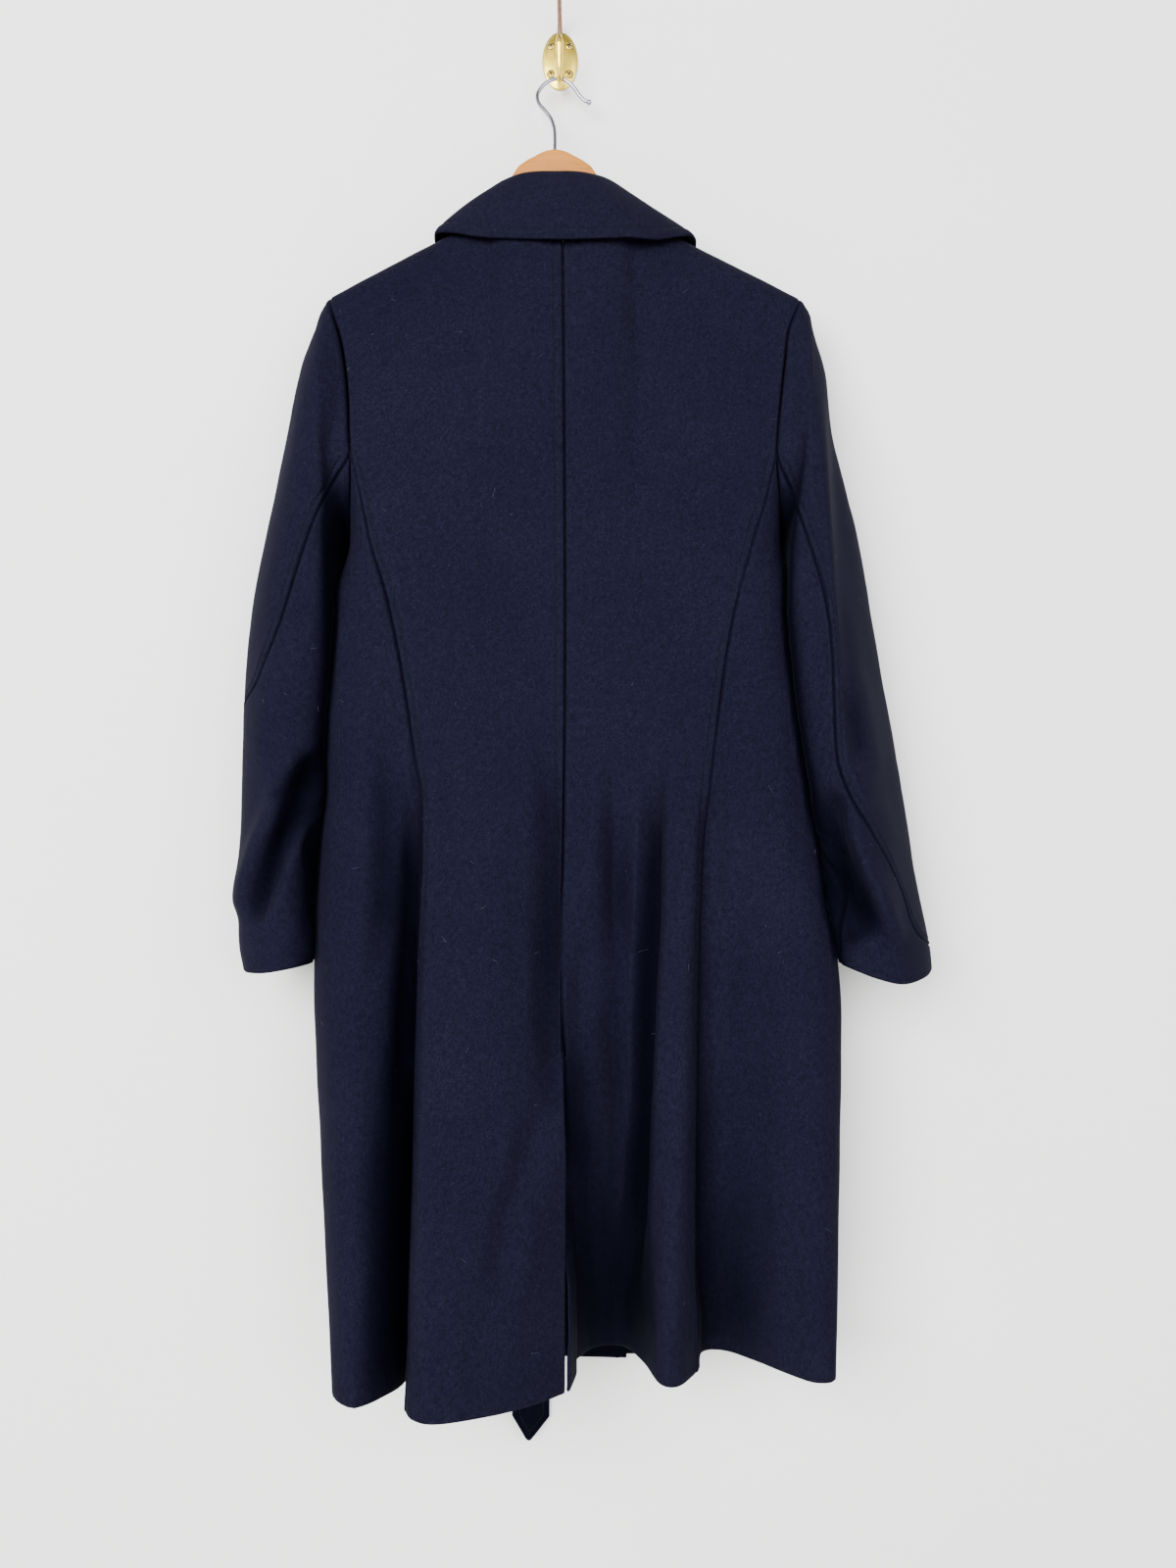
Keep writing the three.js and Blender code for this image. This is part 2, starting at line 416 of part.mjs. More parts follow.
// ---------------------------------------------------------------- sleeves
// One row for each ring: the outer and inner ends of the ring (x, y, z), how far
// it comes out to the near side (share of the way from outer to inner, y), the
// step between them, the two far corners, and where the two seams cross it.
const SLEEVE = {
  left: [
    { outer: [-216.5, -50, -259], inner: [-191, -52, -483], near: [0.52, -102], step: [0.2, -84], far: [0.70, -17], farOut: [0.25, -19], hind: 0.335, fore: 0.655 },
    { outer: [-224, -52, -283], inner: [-193.5, -54, -495], near: [0.55, -108], step: [0.2, -90], far: [0.70, -15], farOut: [0.25, -17], hind: 0.30, fore: 0.65 },
    { outer: [-236, -54, -322], inner: [-197, -55, -513], near: [0.56, -113], step: [0.22, -96], far: [0.70, -14], farOut: [0.25, -16], hind: 0.265, fore: 0.64 },
    { outer: [-248, -55, -383], inner: [-201, -56, -541], near: [0.56, -118], step: [0.22, -99], far: [0.70, -14], farOut: [0.25, -15], hind: 0.225, fore: 0.63 },
    { outer: [-265, -56, -469], inner: [-206.5, -57, -581], near: [0.56, -121], step: [0.22, -101], far: [0.70, -15], farOut: [0.25, -15], hind: 0.175, fore: 0.615 },
    { outer: [-278, -58, -541], inner: [-211, -58, -626], near: [0.56, -122], step: [0.22, -101], far: [0.70, -16], farOut: [0.25, -15], hind: 0.12, fore: 0.60 },
    { outer: [-284.5, -60, -620], inner: [-215, -60, -680], near: [0.56, -122], step: [0.22, -101], far: [0.70, -18], farOut: [0.25, -16], hind: 0.06, fore: 0.575 },
    { outer: [-286, -62, -703], inner: [-219, -61, -738], near: [0.58, -121], step: [0.22, -102], far: [0.70, -20], farOut: [0.25, -18], hind: 0.0, fore: 0.53 },
    { outer: [-287, -64, -770], inner: [-221, -62, -788], near: [0.58, -120], step: [0.22, -103], far: [0.70, -23], farOut: [0.25, -20], hind: -0.04, fore: 0.47 },
    { outer: [-287, -66, -829], inner: [-223, -62, -838], near: [0.56, -120], step: [0.2, -104], far: [0.70, -26], farOut: [0.25, -22], hind: -0.06, fore: 0.44 },
    { outer: [-282, -68, -868], inner: [-225, -62, -862], near: [0.55, -119], step: [0.2, -104], far: [0.70, -28], farOut: [0.25, -24], hind: -0.065, fore: 0.43 },
  ],
  right: [
    { outer: [229, -50, -261], inner: [203, -52, -484], near: [0.60, -104], step: [0.22, -84], far: [0.70, -17], farOut: [0.25, -19], hind: 0.335, fore: 0.655 },
    { outer: [234, -52, -284], inner: [206, -54, -494], near: [0.62, -112], step: [0.22, -88], far: [0.70, -15], farOut: [0.25, -17], hind: 0.30, fore: 0.65 },
    { outer: [245, -52, -335], inner: [210, -55, -514], near: [0.66, -120], step: [0.24, -92], far: [0.70, -14], farOut: [0.25, -16], hind: 0.275, fore: 0.64 },
    { outer: [256, -52, -390], inner: [214, -56, -541], near: [0.70, -126], step: [0.26, -95], far: [0.70, -14], farOut: [0.25, -15], hind: 0.255, fore: 0.63 },
    { outer: [271, -50, -463], inner: [219, -57, -581], near: [0.72, -130], step: [0.27, -95], far: [0.70, -14], farOut: [0.25, -15], hind: 0.24, fore: 0.615 },
    { outer: [286, -50, -545], inner: [224.5, -58, -626], near: [0.74, -132], step: [0.28, -94], far: [0.70, -14], farOut: [0.25, -15], hind: 0.225, fore: 0.60 },
    { outer: [300, -50, -622], inner: [232, -60, -680], near: [0.75, -132], step: [0.28, -92], far: [0.70, -15], farOut: [0.25, -15], hind: 0.21, fore: 0.575 },
    { outer: [313, -50, -697], inner: [242, -61, -735], near: [0.76, -131], step: [0.28, -92], far: [0.70, -16], farOut: [0.25, -15], hind: 0.20, fore: 0.54 },
    { outer: [325, -52, -775], inner: [252, -60, -785], near: [0.70, -128], step: [0.26, -96], far: [0.70, -17], farOut: [0.25, -16], hind: 0.15, fore: 0.50 },
    { outer: [336, -54, -833], inner: [257, -56, -832], near: [0.60, -122], step: [0.22, -98], far: [0.70, -18], farOut: [0.25, -17], hind: 0.06, fore: 0.46 },
    { outer: [343, -56, -862], inner: [260, -54, -858], near: [0.52, -119], step: [0.2, -98], far: [0.70, -20], farOut: [0.25, -18], hind: 0.01, fore: 0.45 },
  ],
};
const SLEEVE_ROWS = 15;
function sleeve(side) {
  const arm = ARM[side], rows = SLEEVE[side];
  const rings = rows.map((r) => ring([
    r.outer, [...mix(r.outer, r.inner, r.step[0])].map((v, i) => (i === 1 ? r.step[1] : v)),
    [...mix(r.outer, r.inner, r.near[0])].map((v, i) => (i === 1 ? r.near[1] : v)), r.inner,
    [...mix(r.outer, r.inner, r.far[0])].map((v, i) => (i === 1 ? r.far[1] : v)),
    [...mix(r.outer, r.inner, r.farOut[0])].map((v, i) => (i === 1 ? r.farOut[1] : v))]));
  const ks = [0, ...rows.map((_, i) => i + 1)];
  const hind = spline(ks, [[arm.princess], ...rows.map((r) => [r.hind])]);
  const fore = spline(ks, [[FORE_AT_ARMHOLE], ...rows.map((r) => [r.fore])]);
  const point = (k, s) => spline(ks, [arm.f(s), ...rings.map((f) => f(s))])(k);
  const at = Array.from({ length: SLEEVE_ROWS }, (_, i) => rows.length * (i / (SLEEVE_ROWS - 1)) ** 1.15);
  const st = armStations(arm);
  const underAt = [...st.under, 0.6, FORE_AT_ARMHOLE];
  const upperAt = [...st.front.slice(0, 7).reverse(), ...st.back.slice(1).map((t) => 1 + t)];
  const cut = (list, from, to) => at.map((k) => list.map((s0) => {
    const a = from(k), b = to(k);
    return point(k, a + (b - a) * (s0 - list[0]) / (list[list.length - 1] - list[0]));
  }));
  const centre = at.map((k) => { const c = [0, 0, 0]; for (let n = 0; n < 12; n++) { const p = point(k, n / 12); c[0] += p[0] / 12; c[1] += p[1] / 12; c[2] += p[2] / 12; } return c; });
  const out = (p, i) => sub(p, centre[i]);
  const U = cut(underAt, (k) => hind(k)[0], (k) => fore(k)[0]);
  const O = cut(upperAt, (k) => fore(k)[0], (k) => 1 + hind(k)[0]);
  const NU = gridNormals(U, out), NO = gridNormals(O, out);
  averageEdge(NU, 0, NO, upperAt.length - 1); averageEdge(NU, underAt.length - 1, NO, 0);
  underAt.forEach((t, j) => { NU[0][j] = unit(mix(NU[0][j], arm.normal(t), Math.max(smooth(2, 0, j), smooth(underAt.length - 3, underAt.length - 1, j)))); });
  upperAt.forEach((t, j) => { NO[0][j] = arm.normal(t); });
  const D = SEAM / 2;
  const trim = (P) => { const T = trimColumn(trimColumn(P, 0, 2 * D), P[0].length - 1, 2 * D); return trimRow(T, 0, SEAM * 1.3); };
  parts.push(wall(`sleeve_under_${side}`, trim(U), NU, NAVY), wall(`sleeve_upper_${side}`, trim(O), NO, NAVY));
}
sleeve('left'); sleeve('right');

// ---------------------------------------------------------------- collar
// Rows from the left front end round the back of the neck to the right front end:
// the fold at the top, the edge of the turned-down leaf, and the neck seam.
const COLLAR = [
  { at: 'end_left', fold: [-37, -17, -250], edge: [-97, -16.5, -258], neck: [-36, -24, -246] },
  { at: 'front_left', fold: [-46, -18, -215], edge: [-110, -17.5, -214], neck: [-43, -25, -214] },
  { at: 'side_front_left', fold: [-57, -22, -178], edge: [-115, -30, -189.5], neck: [-53, -28, -186] },
  { at: 'side_left', fold: [-61, -33, -157], edge: [-114.5, -46, -186], neck: [-60.5, -33, -168] },
  { at: 'side_back_left', fold: [-58, -44, -146.5], edge: [-110, -58, -188.5], neck: [-57, -44, -165.5] },
  { at: 'quarter_left', fold: [-49, -53.5, -140.5], edge: [-95, -69, -194], neck: [-47, -51, -169.5] },
  { at: 'back_left', fold: [-34, -60.5, -138], edge: [-68, -78, -203], neck: [-30, -56.5, -173] },
  { at: 'back_left_b', fold: [-18, -63, -137.5], edge: [-34, -87, -211.5], neck: [-13, -58, -175.5] },
  { at: 'centre', fold: [-2, -63, -137.5], edge: [2, -93, -217], neck: [4, -58.5, -176] },
  { at: 'back_right_b', fold: [12, -63, -137.5], edge: [36, -91, -214.5], neck: [21, -58, -175.5] },
  { at: 'back_right', fold: [27, -60.5, -138], edge: [66, -86, -209], neck: [38, -56.5, -173] },
  { at: 'quarter_right', fold: [44, -53.5, -139.5], edge: [90, -77, -203.5], neck: [55, -51, -169.5] },
  { at: 'side_back_right', fold: [56, -44, -146], edge: [110, -66, -195], neck: [65, -44, -165.5] },
  { at: 'side_right', fold: [62, -33, -157], edge: [124, -50, -188.5], neck: [68.5, -33, -168] },
  { at: 'side_front_right', fold: [61, -21, -180], edge: [127, -28, -192], neck: [61, -28, -186] },
  { at: 'front_right', fold: [53, -11, -215], edge: [120, -11.5, -220], neck: [51, -22, -214] },
  { at: 'end_right', fold: [44, -10.6, -250], edge: [105, -10.6, -268], neck: [43, -22, -246] },
];
const LEAF_COLS = 25;
{
  const ks = COLLAR.map((_, i) => i), pick = (key) => spline(ks, COLLAR.map((r) => r[key]));
  const fold = pick('fold'), edge = pick('edge'), neck = pick('neck');
  const at = (j) => (COLLAR.length - 1) * j / (LEAF_COLS - 1);
  const centre = [2, -28, -150];
  const outward = (p) => unit([p[0] - centre[0], (p[1] - centre[1]) * 1.4, 0]);
  // the leaf: over the roll of the fold, then down and out to its edge
  const leaf = grid(7, LEAF_COLS, (i, j) => {
    const k = at(j), f = fold(k), e = edge(k), o = outward(f), flat = smooth(0, 3, Math.min(k, COLLAR.length - 1 - k));
    if (i === 0) return add(add(f, o, -2.6 * flat - 0.6), [0, 0, -2.2]);
    if (i === 1) return add(add(f, o, -0.6), [0, 0, 0]);
    const v = [0, 0, 0.045, 0.2, 0.45, 0.72, 1][i];
    const roll = 5.5 * Math.sin(Math.PI * Math.min(1, v * 1.05)) ** 0.8 * (0.25 + 0.75 * flat);
    return add(add(mix(f, e, v), o, roll * 0.6), [0, 0, roll * 0.55]);
  });
  const NL = gridNormals(leaf, (p, i, j) => (i < 1 ? [0, 0, 1] : add(outward(fold(at(j))), [0, 0, 0.7])));
  parts.push(wall('collar_fall', leaf, NL, NAVY, 2.7));
  // the stand: from the neck seam up to just under the fold
  const stand = grid(3, LEAF_COLS - 4, (i, j) => {
    const k = at(j + 2), f = fold(k), o = outward(f), n = neck(k), flat = smooth(0, 3, Math.min(k, COLLAR.length - 1 - k));
    const top = add(add(f, o, -4.1 * flat - 1.4), [0, 0, -6.4 + 1.2 * (1 - flat)]);
    const low = add(n, [0, 0, 1.6]);
    return mix(low, top, i / 2);
  });
  const NT = gridNormals(stand, (p) => outward(p));
  parts.push(wall('collar_stand', stand, NT, NAVY, 2.0));
}

// ---------------------------------------------------------------- lapels
// Rows down the roll line: where the lapel turns and how far out it reaches.
const LAPEL = {
  left: [
    { turn: [-41, -262], reach: [-97, -268] }, { turn: [-26, -296], reach: [-104, -292] },
    { turn: [-4, -343], reach: [-66, -352] }, { turn: [20, -395], reach: [-10, -406] }, { turn: [40, -436], reach: [34, -440] }],
  right: [
    { turn: [47, -262], reach: [105, -276] }, { turn: [32, -296], reach: [112, -300] },
    { turn: [10, -343], reach: [72, -356] }, { turn: [-14, -395], reach: [16, -406] }, { turn: [-34, -436], reach: [-28, -440] }],
};
for (const side of ['left', 'right']) {
  const y = side === 'left' ? -16.9 : -9.8;
  const P = LAPEL[side].map((r) => [0, 0.5, 1].map((k) => [r.turn[0] + (r.reach[0] - r.turn[0]) * k, y + (side === 'left' ? 0 : 0.6) * Math.sin(Math.PI * k), r.turn[1] + (r.reach[1] - r.turn[1]) * k]));
  parts.push(wall(`lapel_${side}`, P, gridNormals(P, () => [0, 1, 0]), NAVY, side === 'left' ? 2.2 : DOUBLE));
}

// ---------------------------------------------------------------- tie belt
const BELT_TOP = -584, BELT_LOW = -624;
{
  const gap = 1.6;
  for (const side of ['left', 'right']) {
    const table = side === 'left' ? FRONT_LEFT : FRONT_RIGHT, sx = side === 'left' ? -1 : 1;
    const stations = side === 'left' ? [0.1, 0.5, 1, 1.4, 2, 2.6, 3, 3.25, 3.6, 3.93] : [0.1, 0.5, 1, 1.4, 2, 2.5, 3, 3.5, 3.97];
    const sheet = foldLines(table, 1);
    const run = (z) => stations.map((k) => {
      const lv = Math.min(z, WAIST), p = sheet(k, lv), a = sheet(Math.max(0, k - 0.02), lv), b = sheet(k + 0.02, lv);
      let n = unit([b[1] - a[1], a[0] - b[0], 0]);
      if (n[1] < 0) n = [-n[0], -n[1], 0];
      if (k < 0.8 && Math.sign(n[0]) !== sx) n = [-n[0], -n[1], 0];
      const q = [p[0] + n[0] * (gap + DOUBLE), p[1] + n[1] * (gap + DOUBLE)];
      if (side === 'left') q[1] += 6 * smooth(-96, -72, q[0]);
      return q;
    });
    const P = [BELT_TOP, (BELT_TOP + BELT_LOW) / 2, BELT_LOW].map((z) => run(z).map((q) => [q[0], q[1], z]));
    parts.push(wall(`belt_${side}`, P, gridNormals(P, (p) => (Math.abs(p[0]) > 180 ? [sx, 0, 0] : [0, 1, 0])), NAVY, DOUBLE));
  }
  // the knot: a soft band wrapped over both straps
  const knot = grid(7, 5, (i, j) => {
    const u = (j / 4 - 0.5), w = (i / 6 - 0.5);
    return [-6.5 + 38 * u * (1 - 0.12 * Math.cos(Math.PI * w)), -3.6 - 4.2 * (Math.abs(2 * u) ** 3) - 1.2 * (Math.abs(2 * w) ** 4), -605 - 50 * w];
  });
  parts.push(wall('belt_knot', knot, gridNormals(knot, () => [0, 1, 0]), NAVY, 4.6));
  // the two hanging ends: z, centre x, y of the face, turn about the vertical
  const ENDS = {
    belt_end_long: { width: 37, face: -9.3, rows: [
      { z: -631, x: -12, turn: 0 }, { z: -760, x: -16, turn: 0 }, { z: -900, x: -20, turn: 0 }, { z: -1040, x: -24, turn: 0 },
      { z: -1160, x: -27, turn: 0 }, { z: -1238, x: -28, turn: 2 }, { z: -1264, x: -28, turn: 22 }, { z: -1287, x: -28, turn: 33 }],
    tip: { left: -1290, mid: -1318, right: -1299 } },
    belt_end_short: { width: 37, face: -4.6, rows: [
      { z: -631, x: -2, turn: 0 }, { z: -760, x: 4, turn: 0 }, { z: -900, x: 9, turn: 0 }, { z: -1010, x: 12, turn: 0 }],
    tip: { left: -1016, mid: -1040, right: -1016 } },
  };
  for (const [name, e] of Object.entries(ENDS)) {
    const P = e.rows.map((r) => [-0.5, 0, 0.5].map((k) => {
      const a = r.turn * Math.PI / 180;
      return [r.x + k * e.width * Math.cos(a), e.face - 0.9 * Math.min(1, r.turn / 20) + k * e.width * Math.sin(a) * 0.85, r.z];
    }));
    const l = P[P.length - 1];
    P.push([[...l[0].slice(0, 2), e.tip.left], [l[1][0] - 2.5, l[1][1], e.tip.mid], [...l[2].slice(0, 2), e.tip.right]]);
    parts.push(wall(name, P, gridNormals(P, () => [0, 1, 0]), NAVY, DOUBLE));
  }
}

// ---------------------------------------------------------------- solids that are joined
function solid(geometry) {
  const g = geometry.index ? geometry.clone() : geometry.clone();
  g.deleteAttribute('normal'); g.deleteAttribute('uv');
  const m = mergeVertices(g, 1e-4);
  return new wasm.Manifold(new wasm.Mesh({ numProp: 3, vertProperties: new Float32Array(m.attributes.position.array), triVerts: new Uint32Array(m.index.array) }));
}
function back(manifold) {
  const m = manifold.getMesh(), g = new THREE.BufferGeometry();
  g.setAttribute('position', new THREE.BufferAttribute(new Float32Array(m.vertProperties), 3));
  g.setIndex(Array.from(m.triVerts));
  return g;
}
function tube(points, radius, sides, steps) {
  const curve = new THREE.CatmullRomCurve3(points.map((p) => new THREE.Vector3(...p)), false, 'centripetal');
  const shape = new THREE.Shape(Array.from({ length: sides }, (_, i) => new THREE.Vector2(radius * Math.cos(2 * Math.PI * i / sides), radius * Math.sin(2 * Math.PI * i / sides))));
  return new THREE.ExtrudeGeometry(shape, { steps, bevelEnabled: false, extrudePath: curve });
}
const ball = (p, r, squash = [1, 1, 1]) => new THREE.SphereGeometry(r, 12, 8).scale(...squash).translate(...p);

// ---------------------------------------------------------------- wall hook
const PLATE_W = 34, PLATE_H = 55.5;
{
  const profile = [[0, 0], [1, 0], [1, 0.7], [0.93, 1.7], [0.78, 2.5], [0.55, 3.1], [0.25, 3.35], [0, 3.4]];
  const plate = new THREE.LatheGeometry(profile.map(([r, y]) => new THREE.Vector2(r * PLATE_W / 2, y)), 32)
    .rotateX(Math.PI).scale(1, 1, PLATE_H / PLATE_W);
  const rod = tube([[0, -2.7, 19], [0, -8.5, 26.5], [0, -22, 35], [0, -45, 47], [0, -60, 60]], 2.3, 10, 16);
  const prong = tube([[0, -2.8, -17], [0, -9, -26], [0, -20, -32.8], [0, -29, -28.5], [0, -34, -17], [0, -36, -4]], 2.6, 10, 20);
  const body = solid(plate).add(solid(rod)).add(solid(ball([0, -60.6, 60.6], 4.2)))
    .add(solid(prong)).add(solid(ball([0, -36, -3.5], 3.7, [1, 0.8, 1.7])));
  parts.push(named('hook_casting', back(body), BRASS));
  const SCREW = { x: 8.8, z: 13.5, r: 3.9 };
  let n = 1;
  for (const sz of [1, -1]) for (const sx of [-1, 1]) {
    const head = new THREE.LatheGeometry([[0, 0], [SCREW.r, 0], [SCREW.r * 0.98, 0.5], [SCREW.r * 0.7, 1.3], [0, 1.7]].map(([r, y]) => new THREE.Vector2(r, y)), 16)
      .rotateX(Math.PI).translate(sx * SCREW.x, -3.6, sz * SCREW.z);
    parts.push(named(`screw_${n++}`, mergeVertices((head.deleteAttribute('normal'), head.deleteAttribute('uv'), head), 1e-4), BRASS));
  }
}

// ---------------------------------------------------------------- hanger
{
  // half profile of the wooden arms: distance from the middle, top and lower edge
  const ARMS = [
    [0, -106, -150], [10, -107, -151], [20, -110.5, -154], [30, -117, -160], [37.5, -126, -167], [42, -139, -176], [45, -155, -185],
    [48.5, -171, -193], [54, -183, -200], [76, -193, -211], [105, -205, -229], [130, -217, -243], [155, -231, -256], [178, -243, -266], [187, -251, -268]];
  const X0 = -4, Y0 = -37.5, THICK = 12, BEVEL = 2.2;
  const outline = [
    ...[...ARMS].reverse().map(([d, t]) => [X0 - d, t]), ...ARMS.slice(1).map(([d, t]) => [X0 + d, t]),
    ...[...ARMS].reverse().map(([d, , l]) => [X0 + d, l]), ...ARMS.slice(1).map(([d, , l]) => [X0 - d, l])];
  const shape = new THREE.Shape(outline.map(([x, z]) => new THREE.Vector2(x, z)));
  const wood = new THREE.ExtrudeGeometry(shape, { depth: THICK - 2 * BEVEL, bevelEnabled: true, bevelSegments: 2, bevelThickness: BEVEL, bevelSize: BEVEL, bevelOffset: -BEVEL, steps: 1 })
    .rotateX(Math.PI / 2).translate(0, Y0 + THICK / 2 - BEVEL, 0);
  wood.deleteAttribute('normal'); wood.deleteAttribute('uv');
  parts.push(named('hanger_wood', mergeVertices(wood, 1e-4), BEECH));
  const wire = tube([
    [27.6, -20, -50.6], [24, -20, -49.3], [19.2, -20, -44.7], [13.4, -20, -36.6], [7.5, -20, -31], [0.4, -20, -28], [-8, -20, -29.8], [-16, -20.5, -35.5],
    [-20.8, -21.5, -44], [-19.5, -23.5, -53.5], [-13.9, -25.5, -61.3], [-7.8, -27.5, -70.5], [-4.9, -30, -80], [-4, -34.5, -92], [-4, -37.5, -105.6]], 1.75, 8, 44);
  parts.push(named('hanger_hook', back(solid(wire).add(solid(ball([27.8, -20, -50.7], 2.5)))), CHROME));
}

const coat = new THREE.Group();
coat.name = 'coat_on_hook';
for (const m of parts) coat.add(m);
export default coat;
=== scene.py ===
import math

import bpy
import numpy as np
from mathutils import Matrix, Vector
from mathutils.bvhtree import BVHTree


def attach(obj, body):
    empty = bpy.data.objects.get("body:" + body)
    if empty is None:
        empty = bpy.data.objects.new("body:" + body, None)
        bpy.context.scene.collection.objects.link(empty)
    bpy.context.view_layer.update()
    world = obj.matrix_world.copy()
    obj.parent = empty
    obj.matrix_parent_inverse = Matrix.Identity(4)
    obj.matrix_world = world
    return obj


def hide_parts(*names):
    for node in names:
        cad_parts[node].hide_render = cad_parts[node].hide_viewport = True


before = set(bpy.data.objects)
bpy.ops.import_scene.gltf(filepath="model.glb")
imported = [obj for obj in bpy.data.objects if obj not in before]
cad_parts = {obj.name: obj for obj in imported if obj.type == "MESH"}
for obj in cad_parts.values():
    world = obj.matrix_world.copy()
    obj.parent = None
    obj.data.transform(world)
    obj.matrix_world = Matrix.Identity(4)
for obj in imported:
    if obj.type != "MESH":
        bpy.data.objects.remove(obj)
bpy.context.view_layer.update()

# ------------------------------------------------------------------ the photograph's camera
CAM = np.array([26.8, -1130.0, -694.0])      # mm, looking level along +Y
FOCAL = 1200.0                                # pixels, in the 1200 x 1600 picture


def project(P):
    """Picture coordinates (1200 x 1600) of points in mm."""
    s = (P[..., 1] - CAM[1]) / FOCAL
    return np.stack([600 + (P[..., 0] - CAM[0]) / s, 800 - (P[..., 2] - CAM[2]) / s], -1)


cam_data = bpy.data.cameras.new("camera")
cam_data.sensor_width = 36.0
cam_data.lens = 27.0
cam_data.clip_start = 0.02
cam_data.clip_end = 30
cam = bpy.data.objects.new("camera", cam_data)
cam.location = (CAM / 1000.0).tolist()
cam.rotation_euler = (math.pi / 2, 0, 0)
bpy.context.scene.collection.objects.link(cam)
bpy.context.scene.camera = cam

# ------------------------------------------------------------------ splines
def unit(a):
    a = np.asarray(a, float)
    return a / np.maximum(np.linalg.norm(a, axis=-1, keepdims=True), 1e-12)


def smooth(e0, e1, x):
    k = np.clip((np.asarray(x, float) - e0) / (e1 - e0), 0, 1)
    return k * k * (3 - 2 * k)


class Spline:
    """A smooth curve through values at uneven stations."""

    def __init__(self, ts, vs):
        self.t = np.asarray(ts, float)
        self.v = np.asarray(vs, float)
        if self.v.ndim == 1:
            self.v = self.v[:, None]
        d = (self.v[1:] - self.v[:-1]) / (self.t[1:] - self.t[:-1])[:, None]
        m = np.empty_like(self.v)
        m[0], m[-1] = d[0], d[-1]
        h = self.t[1:] - self.t[:-1]
        if len(self.t) > 2:
            wa, wb = h[1:, None], h[:-1, None]
            m[1:-1] = (d[:-1] * wa + d[1:] * wb) / (wa + wb)
        self.m = m

    def __call__(self, x):
        x = np.asarray(x, float)
        i = np.clip(np.searchsorted(self.t, x, side="left") - 1, 0, len(self.t) - 2)
        h = self.t[i + 1] - self.t[i]
        u = (x - self.t[i]) / h
        u, h = u[..., None], h[..., None]
        u2, u3 = u * u, u * u * u
        return ((2 * u3 - 3 * u2 + 1) * self.v[i] + (u3 - 2 * u2 + u) * h * self.m[i]
                + (-2 * u3 + 3 * u2) * self.v[i + 1] + (u3 - u2) * h * self.m[i + 1])


def path(pts):
    pts = np.asarray(pts, float)
    t = np.concatenate([[0], np.cumsum(np.linalg.norm(np.diff(pts, axis=0), axis=1))])
    return Spline(t / t[-1], pts)


def ring(pts):
    pts = np.asarray(pts, float)
    n = len(pts)
    t = np.concatenate([[0], np.cumsum(np.linalg.norm(np.roll(pts, -1, 0) - pts, axis=1))])
    T, V = [], []
    for i in range(-2, n + 3):
        k, j = divmod(i, n)
        T.append(t[j] / t[n] + k)
        V.append(pts[j])
    f = Spline(T, V)
    return lambda s: f(np.mod(s, 1.0))


# ------------------------------------------------------------------ the coat's tables (mm, as in the part)
WAIST, VENT_TOP, HEM = -610.0, -924.0, -1201.0
ARMHOLE = {
    "left": [
        [-207, -38, -246], [-208.6, -60, -252.6], [-194.7, -75, -297.5], [-187.4, -85, -339.6], [-184, -93, -385.6],
        [-182.8, -95, -403.3], [-184, -88, -440], [-186, -72, -465], [-187, -50, -473], [-186, -34, -462],
        [-185, -26, -430], [-186, -23, -390], [-190, -23, -340], [-198, -25, -290], [-205, -29, -258]],
    "right": [
        [219, -38, -247.5], [220.3, -60, -254.4], [208.4, -72, -283], [202.7, -80, -317], [197.8, -88, -354],
        [193.3, -95, -405], [196, -89, -440], [198.5, -72, -465], [199.5, -50, -474], [198, -34, -462],
        [197, -26, -430], [198, -23, -390], [203, -23, -340], [211, -25, -290], [217, -29, -259]],
}
PRINCESS = {
    "left": [[-182.8, -95, -403.3], [-173.5, -100, -440], [-163, -104, -486], [-149, -108, -529], [-138.5, -111, -575], [-132, -114, -610]],
    "right": [[193.3, -95, -405], [185, -99, -438], [169, -104, -490], [158, -108, -529], [149, -111, -567], [143, -113, -610]],
}
CENTRE_BACK = [[4, -58, -177], [4.2, -74, -194], [4.4, -84, -217], [5, -93, -260], [5.6, -99, -330], [6.4, -105, -430], [7, -111, -530], [7, -115, -610]]
NECK_POINT = {"left": [-62, -38, -167], "right": [70, -38, -167]}
NECK_BACK = {"left": [[-62, -38, -167], [-52, -48, -170.5], [-30, -56, -175], [4, -58, -177]],
             "right": [[70, -38, -167], [60, -48, -170.5], [38, -56, -175], [4, -58, -177]]}
SIDE_SEAM = {"left": [[-187, -50, -473], [-190, -51, -540], [-190, -50, -610]],
             "right": [[199.5, -50, -474], [203, -51, -540], [202, -50, -610]]}
ROLL = {
    "left": [[-62, -38, -167], [-60, -26, -177], [-54, -22, -205], [-38, -20, -260], [10, -20, -370], [50, -20, -450], [55, -20, -520], [55, -20, -610]],
    "right": [[70, -38, -167], [67, -26, -177], [60, -19, -205], [44, -15, -260], [-4, -14, -370], [-50, -14, -450], [-60, -14, -520], [-60, -14, -610]],
}
LEVELS = [-610, -730, -849, -1030, -1201]
